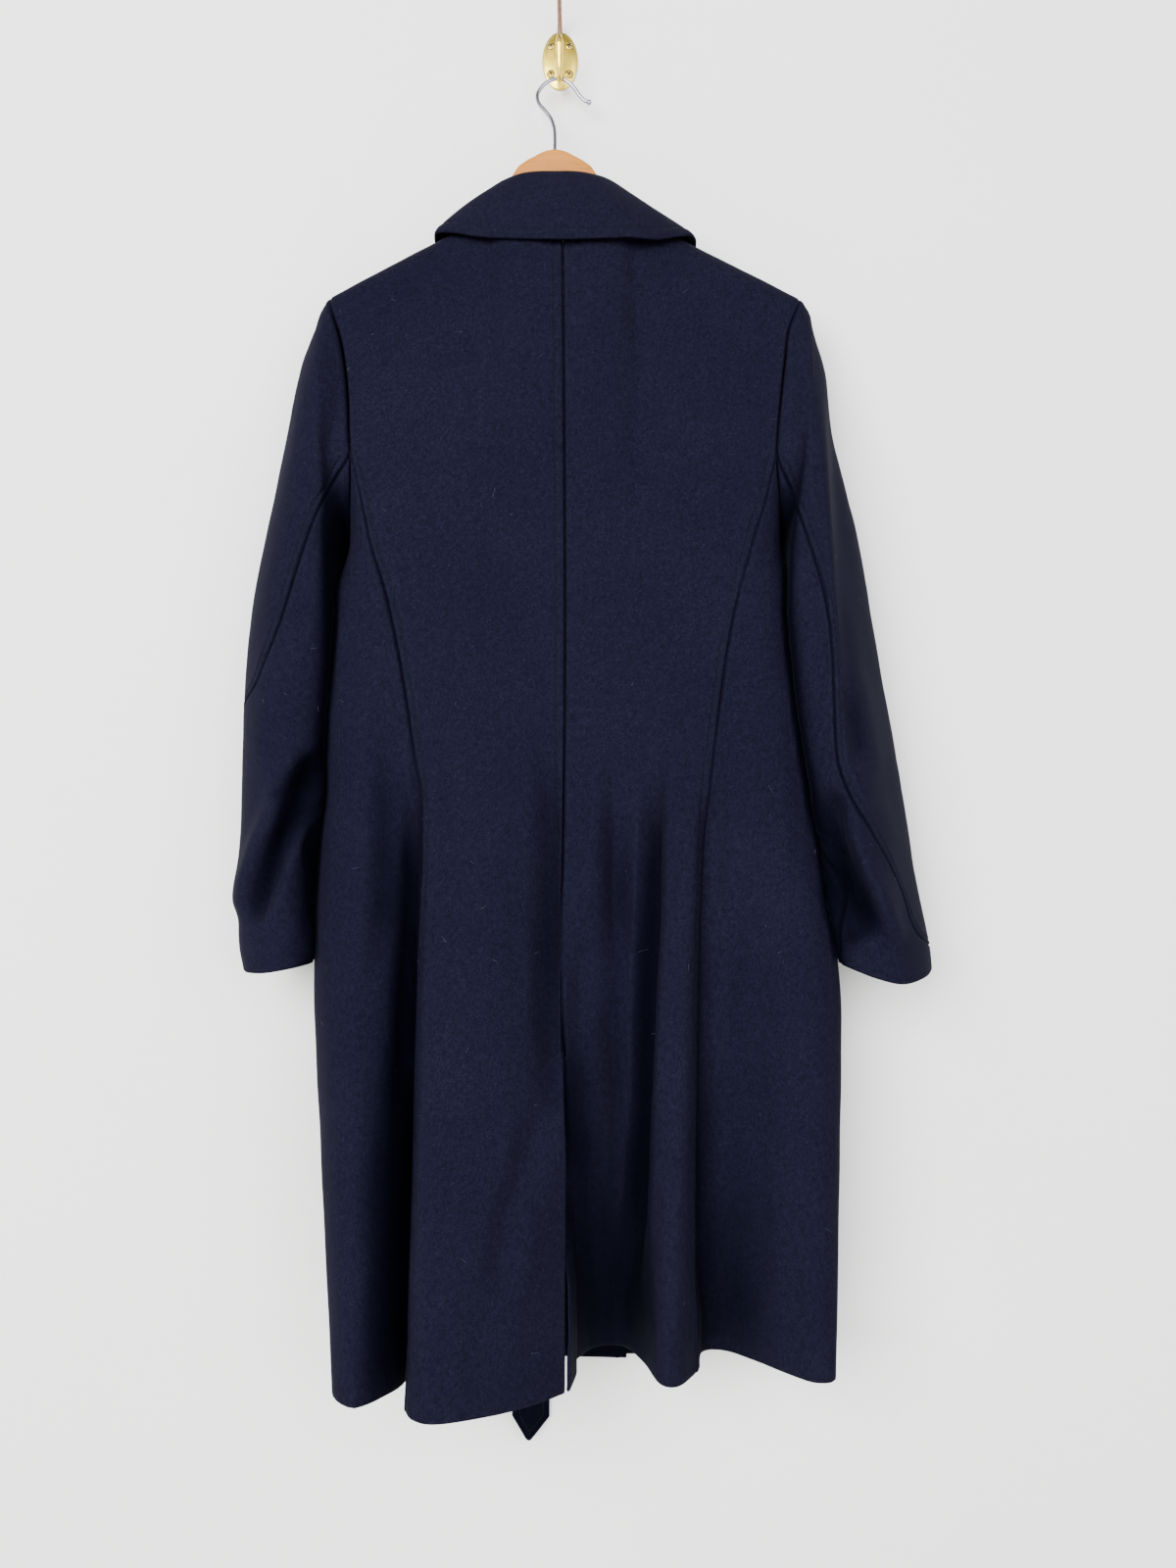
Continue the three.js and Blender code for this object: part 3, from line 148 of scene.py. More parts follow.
# fold lines: x, y at waist, high hip, hip, knee, hem
FOLDS = {
    "side_back_left": [
        [[-190, -50], [-199, -56], [-204, -64], [-197, -76], [-184, -98]],
        [[-200, -71], [-210, -80], [-214.5, -93], [-202, -116], [-187, -150]],
        [[-190, -94], [-198, -106], [-199, -122], [-187, -145], [-168, -173]],
        [[-172, -106], [-176, -119], [-176, -134], [-170, -154], [-154, -168]],
        [[-156, -111], [-152, -121], [-150, -130], [-147, -143], [-141, -154]],
        [[-145, -113], [-133, -115], [-128, -115], [-128, -121], [-130.5, -139]],
        [[-138, -114], [-123.5, -113], [-119, -104], [-120.5, -100], [-122.5, -112]],
        [[-132, -114], [-116, -123], [-116, -132], [-118, -155], [-123, -174]]],
    "back_left": [
        [[-132, -114], [-116, -123], [-116, -132], [-118, -155], [-123, -174]],
        [[-120, -115.5], [-104, -129], [-104, -144], [-109, -171], [-114, -191]],
        [[-98, -116.5], [-84, -132], [-84, -150], [-88, -178], [-93, -198]],
        [[-58, -117], [-48, -131], [-45, -146], [-44, -167], [-47, -184]],
        [[-22, -116], [-18, -123], [-14, -130], [-12, -149], [-14, -166]],
        [[7, -115], [6, -122], [4.5, -128], [7.5, -138], [7.5, -150]]],
    "back_right": [
        [[143, -113], [129, -120], [124, -124], [121, -121], [124, -111]],
        [[118, -114], [109, -124], [104, -133], [100, -138], [104, -139]],
        [[100, -113.5], [92, -121], [86, -127], [83, -126], [87, -135]],
        [[86, -113], [78, -115], [72, -114], [71, -105], [75, -99]],
        [[72, -113], [66, -112], [60, -110], [61, -96], [60, -70]],
        [[48, -114], [46, -116], [44, -115], [46, -96], [44.5, -66]],
        [[26, -114.5], [26, -120], [24, -121], [28, -103], [30, -72]],
        [[7, -115], [6, -122], [4.5, -128], [14, -113], [18, -90]]],
    "side_back_right": [
        [[202, -50], [220, -56], [235, -64], [239, -76], [237, -92]],
        [[213, -70], [231, -84], [246, -98], [244.5, -111], [238, -127]],
        [[208, -86], [219, -102], [230, -118], [226, -128], [220, -133]],
        [[192, -98], [198, -112], [204, -123], [201, -124], [199.5, -119]],
        [[176, -105], [176, -114], [178, -118], [175, -110], [172, -94]],
        [[160, -109], [153, -112], [150, -112], [148, -102], [149, -77]],
        [[150, -111.5], [138, -115], [133, -115], [129, -104], [129.5, -79]],
        [[143, -113], [129, -120], [124, -124], [121, -121], [124, -111]]],
    "front_left": [
        [[-190, -50], [-199, -56], [-204, -64], [-197, -76], [-184, -98]],
        [[-183, -29], [-191, -32], [-195, -36], [-190, -42], [-180, -52]],
        [[-158, -22], [-162, -22], [-164, -23], [-162, -24], [-156, -26]],
        [[-96, -20], [-96, -22], [-96, -24], [-95, -28], [-94, -32]],
        [[-22, -20], [-22, -20], [-20, -20], [-20, -20], [-20, -21]],
        [[55, -20], [56, -20], [58, -21], [60, -22.5], [62, -24]]],
    "front_right": [
        [[202, -50], [220, -56], [235, -64], [239, -76], [237, -92]],
        [[195, -28], [212, -31], [226, -35], [230, -41], [230, -50]],
        [[164, -17], [176, -17], [184, -18], [186, -19], [187, -21]],
        [[90, -14], [96, -15], [100, -16], [102, -19], [103, -22]],
        [[12, -14], [12, -14], [13, -14], [14, -14.5], [15, -15]],
        [[-60, -14], [-60, -14], [-62, -14], [-63, -14], [-64, -14]]],
}
DROPS = {"front": [0, 5, 14, 26, 30, 30]}
UNDERLAP = [  # z, free edge x, y, middle x, y
    [-924, -34, -120, -14, -121], [-975, -28, -123, -8, -121], [-1030, -14, -129, 2, -122], [-1070, 0, -133.5, 9, -122],
    [-1100, 8.5, -137, 14, -121], [-1145, 11.5, -141, 16.5, -119.5], [-1201, 12, -146, 17, -118]]
ARM_ROWS, CHEST_ROWS, FORE = 5, 4, 0.665


class Armhole:
    def __init__(self, side):
        rows = np.asarray(ARMHOLE[side], float)
        self.f = ring(rows)
        s = np.concatenate([[0], np.cumsum(np.linalg.norm(np.roll(rows, -1, 0) - rows, axis=1))])
        s /= s[-1]
        self.princess, self.underarm = s[5], s[8]
        self.sx = -1.0 if side == "left" else 1.0
        self.centre = np.array([self.sx * 195, -56.0, -362.0])

    def normal(self, t):
        t = np.asarray(t, float)
        p = self.f(t)
        r = unit(np.stack([0 * t, p[..., 1] - self.centre[1], (p[..., 2] - self.centre[2]) * 0.6], -1))
        w = 0.8 * np.cos(2 * np.pi * (t - 0.01)) ** 2
        return unit(r + np.stack([self.sx * w, 0 * w, 0 * w], -1))


ARM = {s: Armhole(s) for s in ("left", "right")}


def sheet_fn(name):
    """Point (x, y) of a skirt sheet from a column number (0 .. 1 of the table) and a level."""
    table = FOLDS[name]
    lines = [Spline([-z for z in LEVELS], r) for r in table]
    n = len(table)

    def row(cs, z):
        pts = np.stack([ln(np.asarray(-z, float)) for ln in lines], 0)
        return Spline(np.arange(n), pts)(np.asarray(cs) * (n - 1))

    return row


# ------------------------------------------------------------------ base surfaces, sampled finely
NB = 161          # samples along a base row


def rows_upper(side, kind):
    """Base rows (list of NB x 3 arrays) of the shaped patch above the waist."""
    arm = ARM[side]
    princess, cb, seam, roll = path(PRINCESS[side]), path(CENTRE_BACK), path(SIDE_SEAM[side]), path(ROLL[side])
    cs = np.linspace(0, 1, NB)
    name = {"C": "back_", "S": "side_back_", "F": "front_"}[kind] + side
    waist = np.column_stack([sheet_fn(name)(cs, WAIST), np.full(NB, WAIST)])
    w = np.concatenate([[0], np.cumsum(np.linalg.norm(np.diff(waist, axis=0), axis=1))])
    q = w / w[-1]
    tip, neckp = np.array(ARMHOLE[side][0], float), np.array(NECK_POINT[side], float)
    if kind == "C":
        z0 = tip[2]
        na, nb = 52, 56
        ta = arm.princess * (np.linspace(0, 1, na, endpoint=False)) ** 0.85
        L = np.concatenate([arm.f(ta), princess(np.linspace(0, 1, nb))])
        v = (L[:, 2] - z0) / (WAIST - z0)
        R = cb(v)
        kk = 0.6   # six of ten columns cross the shoulder
        neck = path(NECK_BACK[side])
        T = np.where((cs <= kk)[:, None], tip + (neckp - tip) * (cs / kk)[:, None], neck(np.clip((cs - kk) / (1 - kk), 0, 1)))
    elif kind == "S":
        t = np.linspace(0, 1, 60) ** 1.15
        L, R = seam(t), princess(t)
        v = t
        ts = arm.underarm + (arm.princess - arm.underarm) * cs
        T = arm.f(ts)
    else:
        na, nb = 60, 40
        ta = np.linspace(1, arm.underarm, na, endpoint=False)
        L = np.concatenate([arm.f(ta), seam(np.linspace(0, 1, nb))])
        v = (L[:, 2] - L[0, 2]) / (WAIST - L[0, 2])
        R = roll(v)
        T = tip + (neckp - tip) * cs[:, None]
    B = waist
    V, Q = v[:, None, None], q[None, :, None]
    P = (1 - Q) * L[:, None] + Q * R[:, None] + (1 - V) * T[None] + V * B[None] - (
        (1 - Q) * (1 - V) * T[0] + Q * (1 - V) * T[-1] + (1 - Q) * V * B[0] + Q * V * B[-1])
    if kind == "F":
        y0, y1 = waist[0, 1], waist[-1, 1]
        P[..., 1] = R[:, 1:2] + (L[:, 1:2] - R[:, 1:2]) * ((waist[:, 1] - y1) / (y0 - y1))[None]
    return P


def rows_lower(name, step=4.0, hem=HEM):
    zs = np.linspace(WAIST, hem, int((WAIST - hem) / step) + 1)[1:]
    cs = np.linspace(0, 1, NB)
    f = sheet_fn(name)
    out = []
    for z in zs:
        xy = f(cs, z)
        zz = np.full(NB, z)
        if name.startswith("front"):
            d = Spline(np.arange(6), DROPS["front"])(cs * 5)[:, 0]
            zz = z - d * smooth(WAIST, HEM, z)
        out.append(np.column_stack([xy, zz]))
    return np.array(out)


def blur_rows(P, i0, i1, sigma, keep_z=True):
    """Softens the sheet down its rows between two of them."""
    R = len(P)
    rad = int(3 * sigma)
    k = np.exp(-0.5 * (np.arange(-rad, rad + 1) / sigma) ** 2)
    k /= k.sum()
    pad = np.concatenate([np.repeat(P[:1], rad, 0), P, np.repeat(P[-1:], rad, 0)])
    B = sum(k[j] * pad[j:j + R] for j in range(2 * rad + 1))
    w = smooth(i0, i0 + 3 * sigma, np.arange(R)) * smooth(i1, i1 - 3 * sigma, np.arange(R))
    w = w[:, None, None]
    Q = P * (1 - w) + B * w
    if keep_z:
        Q[..., 2] = P[..., 2]
    return Q


def resample(P, edge0, edge1, mid, scale0=None, scale1=None):
    """Lays each row's columns at set distances from its two edge seams, and evenly between."""
    R = len(P)
    seg = np.linalg.norm(np.diff(P, axis=1), axis=2)
    arc = np.concatenate([np.zeros((R, 1)), np.cumsum(seg, 1)], 1)
    L = arc[:, -1]

    def slant(e):
        t = unit(np.gradient(P[:, e], axis=0))
        r = unit(P[:, 1 if e == 0 else -2] - P[:, e])
        return np.clip(np.linalg.norm(np.cross(t, r), axis=1), 0.45, 1)

    s0 = (1 if scale0 is None else scale0) / slant(0)
    s1 = (1 if scale1 is None else scale1) / slant(-1)
    a = np.asarray(edge0)[None] * np.broadcast_to(s0, R)[:, None]
    b = L[:, None] - (np.asarray(edge1)[None] * np.broadcast_to(s1, R)[:, None])[:, ::-1]
    m0, m1 = a[:, -1:], b[:, :1]
    short = m1 - m0 < 4
    fix = np.where(short, (L[:, None] - 4) / (a[:, -1:] + (L[:, None] - b[:, :1]) + 1e-9), 1)
    fix = np.minimum(fix, 1)
    a = a * fix
    b = L[:, None] - (L[:, None] - b) * fix
    m0, m1 = a[:, -1:], b[:, :1]
    f = np.linspace(0, 1, mid + 2)[1:-1][None]
    c = np.concatenate([a, m0 + (m1 - m0) * f, b], 1)
    out = np.empty((R, c.shape[1], 3))
    for i in range(R):
        for k in range(3):
            out[i, :, k] = np.interp(c[i], arc[i], P[i, :, k])
    d0 = c / np.broadcast_to(s0, R)[:, None]
    d1 = (L[:, None] - c) / np.broadcast_to(s1, R)[:, None]
    return out, d0, d1


def normals(P, out, mask=None):
    """Outward normals of a sheet of points."""
    a = P[1:, 1:] - P[:-1, :-1]
    b = P[:-1, 1:] - P[1:, :-1]
    n = unit(np.cross(a, b))
    if mask is not None:
        n = n * mask[..., None]
    N = np.zeros_like(P)
    for di in (0, 1):
        for dj in (0, 1):
            N[di:P.shape[0] - 1 + di, dj:P.shape[1] - 1 + dj] += n
    N = unit(N)
    ref = np.broadcast_to(out, P.shape) if np.ndim(out) == 1 else out
    if np.sum(N * ref) < 0:
        N = -N
    return N


SHELLS = []


def shell(name, P, N, t=2.0, mask=None, material=None, replaces=(), round_edge=0.45, shut=None, deep=None):
    """A closed thin shell between the sheet and the sheet moved in by t, its edges rounded. mm in, metres out.
    A seam mask (0 .. 1) says where painted shade darkens a seam or a stitched line; a hollow mask weights painted shade
    in listed hollows."""
    R, C = P.shape[:2]
    T = np.broadcast_to(np.asarray(t, float), (R, C))
    if mask is None:
        mask = np.ones((R - 1, C - 1), bool)
    idx = np.arange(R * C).reshape(R, C)
    q = np.stack([idx[:-1, :-1], idx[:-1, 1:], idx[1:, 1:], idx[1:, :-1]], -1)[mask]
    turn = np.sum(np.cross(P[:-1, 1:] - P[:-1, :-1], P[1:, :-1] - P[:-1, :-1])[mask] * N[:-1, :-1][mask])
    if turn < 0:
        q = q[:, ::-1]
    outer = P.reshape(-1, 3)
    inner = (P - N * T[..., None]).reshape(-1, 3)
    nn = R * C
    # boundary edges: directed edges used once
    e = np.concatenate([q[:, [0, 1]], q[:, [1, 2]], q[:, [2, 3]], q[:, [3, 0]]])
    key = {tuple(x) for x in e.tolist()}
    rim = np.array([x for x in e.tolist() if (x[1], x[0]) not in key])
    Nf = N.reshape(-1, 3)
    push = np.zeros((nn, 3))
    d = unit(np.cross(outer[rim[:, 1]] - outer[rim[:, 0]], Nf[rim[:, 0]] + Nf[rim[:, 1]]))
    np.add.at(push, rim[:, 0], d)
    np.add.at(push, rim[:, 1], d)
    used = np.unique(rim)
    push[used] = unit(push[used])
    tf = T.reshape(-1)
    r1 = outer[used] + push[used] * (tf[used, None] * round_edge * 0.8) - Nf[used] * (tf[used, None] * 0.22)
    r2 = outer[used] + push[used] * (tf[used, None] * round_edge) - Nf[used] * (tf[used, None] * 0.5)
    r3 = outer[used] + push[used] * (tf[used, None] * round_edge * 0.8) - Nf[used] * (tf[used, None] * 0.78)
    where = np.full(nn, -1)
    where[used] = np.arange(len(used))
    m = len(used)
    V = np.concatenate([outer, inner, r1, r2, r3])
    faces = [q, q[:, ::-1] + nn]
    a, b = rim[:, 0], rim[:, 1]
    loops = [(a, b), (2 * nn + where[a], 2 * nn + where[b]), (2 * nn + m + where[a], 2 * nn + m + where[b]),
             (2 * nn + 2 * m + where[a], 2 * nn + 2 * m + where[b]), (a + nn, b + nn)]
    for (a0, b0), (a1, b1) in zip(loops[:-1], loops[1:]):
        faces.append(np.stack([b0, a0, a1, b1], -1))
    F = np.concatenate(faces)
    keep = np.zeros(len(V), bool)
    keep[F.reshape(-1)] = True
    remap = np.cumsum(keep) - 1
    o = mesh(name, V[keep] / 1000.0, remap[F], material, replaces)
    SHELLS.append(dict(object=o, P=P, N=N, T=T, mask=mask, keep=keep, used=used, shut=shut, deep=deep))
    return o


def mesh(name, V, F, material=None, replaces=(), ride=True, smooth_shade=True):
    me = bpy.data.meshes.new(name)
    V = np.asarray(V, float)
    if isinstance(F, np.ndarray):
        me.vertices.add(len(V))
        me.vertices.foreach_set("co", V.astype(np.float32).reshape(-1))
        k = F.shape[1]
        me.loops.add(F.size)
        me.loops.foreach_set("vertex_index", F.reshape(-1).astype(np.int32))
        me.polygons.add(len(F))
        me.polygons.foreach_set("loop_start", (np.arange(len(F)) * k).astype(np.int32))
        me.polygons.foreach_set("loop_total", np.full(len(F), k, np.int32))
        me.update(calc_edges=True)
    else:
        me.from_pydata([tuple(v) for v in V], [], [tuple(f) for f in F])
        me.update()
    me.validate()
    me.polygons.foreach_set("use_smooth", np.full(len(me.polygons), smooth_shade))
    if material:
        me.materials.append(material)
    o = bpy.data.objects.new(name, me)
    bpy.context.scene.collection.objects.link(o)
    if ride:
        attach(o, "root")
        if replaces:
            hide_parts(*replaces)
    return o


# ------------------------------------------------------------------ noise without textures, for gentle unevenness
def waves(P, seed, wavelength, n=7):
    """A smooth uneven field of about unit size, from a few slanting waves."""
    rng = np.random.default_rng(seed)
    out = np.zeros(P.shape[:-1])
    for _ in range(n):
        d = unit(rng.normal(size=3) * np.array([1.2, 0.6, 0.7]))
        k = 2 * np.pi / (wavelength * rng.uniform(0.7, 1.6))
        out += np.sin(P @ d * k + rng.uniform(0, 6.28)) * rng.uniform(0.5, 1)
    return out / math.sqrt(n)


def seg_distance(uv, pts):
    """Distance in pixels to a polyline, and how far along it (0 .. 1)."""
    pts = np.asarray(pts, float)
    best = np.full(uv.shape[:-1], 1e9)
    along = np.zeros(uv.shape[:-1])
    L = np.linalg.norm(np.diff(pts, axis=0), axis=1)
    cum = np.concatenate([[0], np.cumsum(L)])
    for i in range(len(pts) - 1):
        a, b = pts[i], pts[i + 1]
        d = b - a
        t = np.clip(((uv - a) @ d) / (d @ d), 0, 1)
        dist = np.linalg.norm(uv - (a + t[..., None] * d), axis=-1)
        w = dist < best
        best = np.where(w, dist, best)
        along = np.where(w, (cum[i] + t * L[i]) / cum[-1], along)
    return best, along


def crease(P, N, pts, width, depth, taper=0.3, skew=0.0):
    """Moves the sheet along its normals by depth (mm, minus is in) near a line given in picture coordinates."""
    uv = project(P)
    d, s = seg_distance(uv, pts)
    g = np.exp(-0.5 * (d / width) ** 2) - 0.35 * np.exp(-0.5 * ((d - 2.2 * width) / (1.2 * width)) ** 2) * (1 if depth < 0 else 0)
    end = smooth(0, taper, s) * smooth(1, 1 - taper, s)
    return P + N * (depth * g * end)[..., None]


STITCHED = np.array([0, .35, .75, 1.2, 1.8, 2.6, 3.6, 4.8, 6.0, 6.9, 7.5, 8.0, 8.5, 9.1, 10, 11.5, 13.5, 16.5, 20.5])
PLAIN = np.array([0, .35, .8, 1.4, 2.2, 3.2, 4.5, 6.5, 9.5, 13.5])
STITCH_COL = 11     # the column that lies on the topstitch line, 8 units from the edge


def seam_roll(d, depth=0.75, w=1.0):
    return -1.9 * depth * np.exp(-(d / (1.25 * w)) ** 2)


def topstitch(d, at=8.0, groove=0.85, swell=0.42):
    return -groove * np.exp(-((d - at) / 0.95) ** 2) + swell * np.exp(-((d - at * 0.5) / (at * 0.28)) ** 2) \
        + 0.10 * np.exp(-((d - at - 2.4) / 1.6) ** 2)


STITCH_LINES = []   # (points, normals) in mm


def add_stitches(P, N):
    STITCH_LINES.append((np.array(P), np.array(N)))


# ------------------------------------------------------------------ materials
def new_material(name):
    m = bpy.data.materials.new(name)
    m.use_nodes = True
    nt = m.node_tree
    nt.nodes.clear()
    out = nt.nodes.new("ShaderNodeOutputMaterial")
    bsdf = nt.nodes.new("ShaderNodeBsdfPrincipled")
    nt.links.new(bsdf.outputs[0], out.inputs[0])
    return m, nt, bsdf


def node(nt, kind, **values):
    n = nt.nodes.new(kind)
    for k, v in values.items():
        if k.startswith("_"):
            setattr(n, k[1:], v)
        else:
            n.inputs[k.replace("__", " ")].default_value = v
    return n


def ramp(nt, fac, stops):
    r = nt.nodes.new("ShaderNodeValToRGB")
    nt.links.new(fac, r.inputs[0])
    els = r.color_ramp.elements
    while len(els) < len(stops):
        els.new(0.5)
    for e, (p, c) in zip(els, stops):
        e.position = p
        e.color = (*c, 1) if len(c) == 3 else c
    return r.outputs[0]


def scaled(nt, scale):
    tc = nt.nodes.new("ShaderNodeTexCoord")
    mp = nt.nodes.new("ShaderNodeMapping")
    mp.inputs["Scale"].default_value = scale
    nt.links.new(tc.outputs["Object"], mp.inputs[0])
    return mp.outputs[0]


def wool_material(name, gain=1.0):
    m, nt, b = new_material(name)
    L = nt.links.new
    # felted fibres: short, lying mostly downwards
    fibre = node(nt, "ShaderNodeTexNoise", Scale=1500.0, Detail=6.0, Roughness=0.72, Distortion=0.6)
    L(scaled(nt, (1.0, 1.0, 0.55)), fibre.inputs["Vector"])
    clump = node(nt, "ShaderNodeTexNoise", Scale=340.0, Detail=5.0, Roughness=0.74)
    L(scaled(nt, (1, 1, 0.8)), clump.inputs["Vector"])
    broad = node(nt, "ShaderNodeTexNoise", Scale=9.0, Detail=3.0, Roughness=0.5)
    L(scaled(nt, (1, 1, 1)), broad.inputs["Vector"])
    c1 = ramp(nt, fibre.outputs["Fac"], [(0.30, (0.0023 * gain, 0.0022 * gain, 0.0068 * gain)), (0.52, (0.0073 * gain, 0.0068 * gain, 0.0170 * gain)), (0.74, (0.0205 * gain, 0.0186 * gain, 0.041 * gain))])
    c2 = ramp(nt, clump.outputs["Fac"], [(0.28, (0.50, 0.50, 0.54)), (0.72, (1.52, 1.52, 1.46))])
    c3 = ramp(nt, broad.outputs["Fac"], [(0.3, (0.9, 0.9, 0.92)), (0.7, (1.1, 1.1, 1.08))])
    mul = node(nt, "ShaderNodeMix", _data_type="RGBA", _blend_type="MULTIPLY")
    mul.inputs[0].default_value = 1.0
    L(c1, mul.inputs[6]); L(c2, mul.inputs[7])
    mul2 = node(nt, "ShaderNodeMix", _data_type="RGBA", _blend_type="MULTIPLY")
    mul2.inputs[0].default_value = 1.0
    L(mul.outputs[2], mul2.inputs[6]); L(c3, mul2.inputs[7])
    # painted shade: the baked occlusion attribute darkens and blues the base colour in folds, hollows, along seams and
    # beside the sleeves
    at = nt.nodes.new("ShaderNodeAttribute")
    at.attribute_name = "open"
    deep = ramp(nt, at.outputs["Fac"], [(0.22, (0.035, 0.037, 0.10)), (0.52, (0.11, 0.12, 0.21)), (0.72, (0.35, 0.36, 0.45)), (0.84, (0.75, 0.76, 0.80)), (0.94, (1.0, 1.0, 1.0))])
    mul3 = node(nt, "ShaderNodeMix", _data_type="RGBA", _blend_type="MULTIPLY")
    mul3.inputs[0].default_value = 1.0
    L(mul2.outputs[2], mul3.inputs[6]); L(deep, mul3.inputs[7])
    L(mul3.outputs[2], b.inputs["Base Color"])
    rr = node(nt, "ShaderNodeMapRange")
    rr.inputs["To Min"].default_value = 0.80
    rr.inputs["To Max"].default_value = 0.95
    L(clump.outputs["Fac"], rr.inputs["Value"])
    L(rr.outputs[0], b.inputs["Roughness"])
    mixh = node(nt, "ShaderNodeMath", _operation="MULTIPLY_ADD")
    L(clump.outputs["Fac"], mixh.inputs[0])
    mixh.inputs[1].default_value = 0.8
    L(fibre.outputs["Fac"], mixh.inputs[2])
    bump = node(nt, "ShaderNodeBump", Strength=0.42, Distance=0.0004)
    L(mixh.outputs[0], bump.inputs["Height"])
    L(bump.outputs[0], b.inputs["Normal"])
    b.inputs["Specular IOR Level"].default_value = 0.035
    b.inputs["Specular Tint"].default_value = (0.62, 0.70, 1.0, 1)
    b.inputs["Sheen Weight"].default_value = 0.008
    b.inputs["Sheen Roughness"].default_value = 0.35
    b.inputs["Sheen Tint"].default_value = (0.6, 0.68, 0.95, 1)
    return m


WOOL = wool_material("wool_melton", 0.6)

m, nt, b = new_material("stitch_thread")
tn = node(nt, "ShaderNodeTexNoise", Scale=3000.0, Detail=2.0)
nt.links.new(scaled(nt, (1, 1, 1)), tn.inputs["Vector"])
nt.links.new(ramp(nt, tn.outputs["Fac"], [(0.3, (0.0016, 0.002, 0.0045)), (0.7, (0.004, 0.005, 0.010))]), b.inputs["Base Color"])
b.inputs["Roughness"].default_value = 0.8
b.inputs["Specular IOR Level"].default_value = 0.12
THREAD = m

m, nt, b = new_material("lint")
tn = node(nt, "ShaderNodeTexNoise", Scale=400.0, Detail=2.0)
nt.links.new(scaled(nt, (1, 1, 1)), tn.inputs["Vector"])
nt.links.new(ramp(nt, tn.outputs["Fac"], [(0.3, (0.05, 0.05, 0.06)), (0.7, (0.16, 0.16, 0.18))]), b.inputs["Base Color"])
b.inputs["Roughness"].default_value = 0.8
LINT = m


def brass_material():
    m, nt, b = new_material("polished_brass")
    L = nt.links.new
    n1 = node(nt, "ShaderNodeTexNoise", Scale=140.0, Detail=5.0, Roughness=0.6)
    L(scaled(nt, (1, 1, 1)), n1.inputs["Vector"])
    L(ramp(nt, n1.outputs["Fac"], [(0.25, (0.76, 0.53, 0.060)), (0.6, (0.88, 0.66, 0.10)), (0.85, (0.94, 0.75, 0.18))]), b.inputs["Base Color"])
    n2 = node(nt, "ShaderNodeTexNoise", Scale=600.0, Detail=3.0)
    L(scaled(nt, (1, 1, 0.25)), n2.inputs["Vector"])
    rr = node(nt, "ShaderNodeMapRange")
    rr.inputs["To Min"].default_value = 0.24
    rr.inputs["To Max"].default_value = 0.40
    L(n2.outputs["Fac"], rr.inputs["Value"]); L(rr.outputs[0], b.inputs["Roughness"])
    bump = node(nt, "ShaderNodeBump", Strength=0.12, Distance=0.0003)
    L(n1.outputs["Fac"], bump.inputs["Height"]); L(bump.outputs[0], b.inputs["Normal"])
    b.inputs["Metallic"].default_value = 1.0
    return m


def chrome_material():
    m, nt, b = new_material("chromed_wire")
    L = nt.links.new
    n1 = node(nt, "ShaderNodeTexNoise", Scale=500.0, Detail=3.0)
    L(scaled(nt, (1, 1, 1)), n1.inputs["Vector"])
    L(ramp(nt, n1.outputs["Fac"], [(0.3, (0.27, 0.27, 0.33)), (0.7, (0.42, 0.42, 0.49))]), b.inputs["Base Color"])
    rr = node(nt, "ShaderNodeMapRange")
    rr.inputs["To Min"].default_value = 0.26
    rr.inputs["To Max"].default_value = 0.36
    L(n1.outputs["Fac"], rr.inputs["Value"]); L(rr.outputs[0], b.inputs["Roughness"])
    b.inputs["Metallic"].default_value = 1.0
    return m


def wood_material():
    m, nt, b = new_material("beech")
    L = nt.links.new
    g = node(nt, "ShaderNodeTexNoise", Scale=60.0, Detail=8.0, Roughness=0.65, Distortion=0.4)
    L(scaled(nt, (0.22, 2.5, 3.2)), g.inputs["Vector"])
    f = node(nt, "ShaderNodeTexNoise", Scale=420.0, Detail=4.0, Roughness=0.6)
    L(scaled(nt, (0.12, 1.6, 2.4)), f.inputs["Vector"])
    c = ramp(nt, g.outputs["Fac"], [(0.28, (0.31, 0.108, 0.008)), (0.5, (0.39, 0.148, 0.013)), (0.72, (0.46, 0.190, 0.024))])
    c2 = ramp(nt, f.outputs["Fac"], [(0.35, (0.80, 0.76, 0.70)), (0.62, (1.05, 1.04, 1.02))])
    mul = node(nt, "ShaderNodeMix", _data_type="RGBA", _blend_type="MULTIPLY")
    mul.inputs[0].default_value = 0.85
    L(c, mul.inputs[6]); L(c2, mul.inputs[7]); L(mul.outputs[2], b.inputs["Base Color"])
    rr = node(nt, "ShaderNodeMapRange")
    rr.inputs["To Min"].default_value = 0.30
    rr.inputs["To Max"].default_value = 0.48
    L(g.outputs["Fac"], rr.inputs["Value"]); L(rr.outputs[0], b.inputs["Roughness"])
    bump = node(nt, "ShaderNodeBump", Strength=0.18, Distance=0.0003)
    L(f.outputs["Fac"], bump.inputs["Height"]); L(bump.outputs[0], b.inputs["Normal"])
    b.inputs["Specular IOR Level"].default_value = 0.3
    b.inputs["Coat Weight"].default_value = 0.08
    b.inputs["Coat Roughness"].default_value = 0.25
    return m


BRASS, CHROME, BEECH = brass_material(), chrome_material(), wood_material()
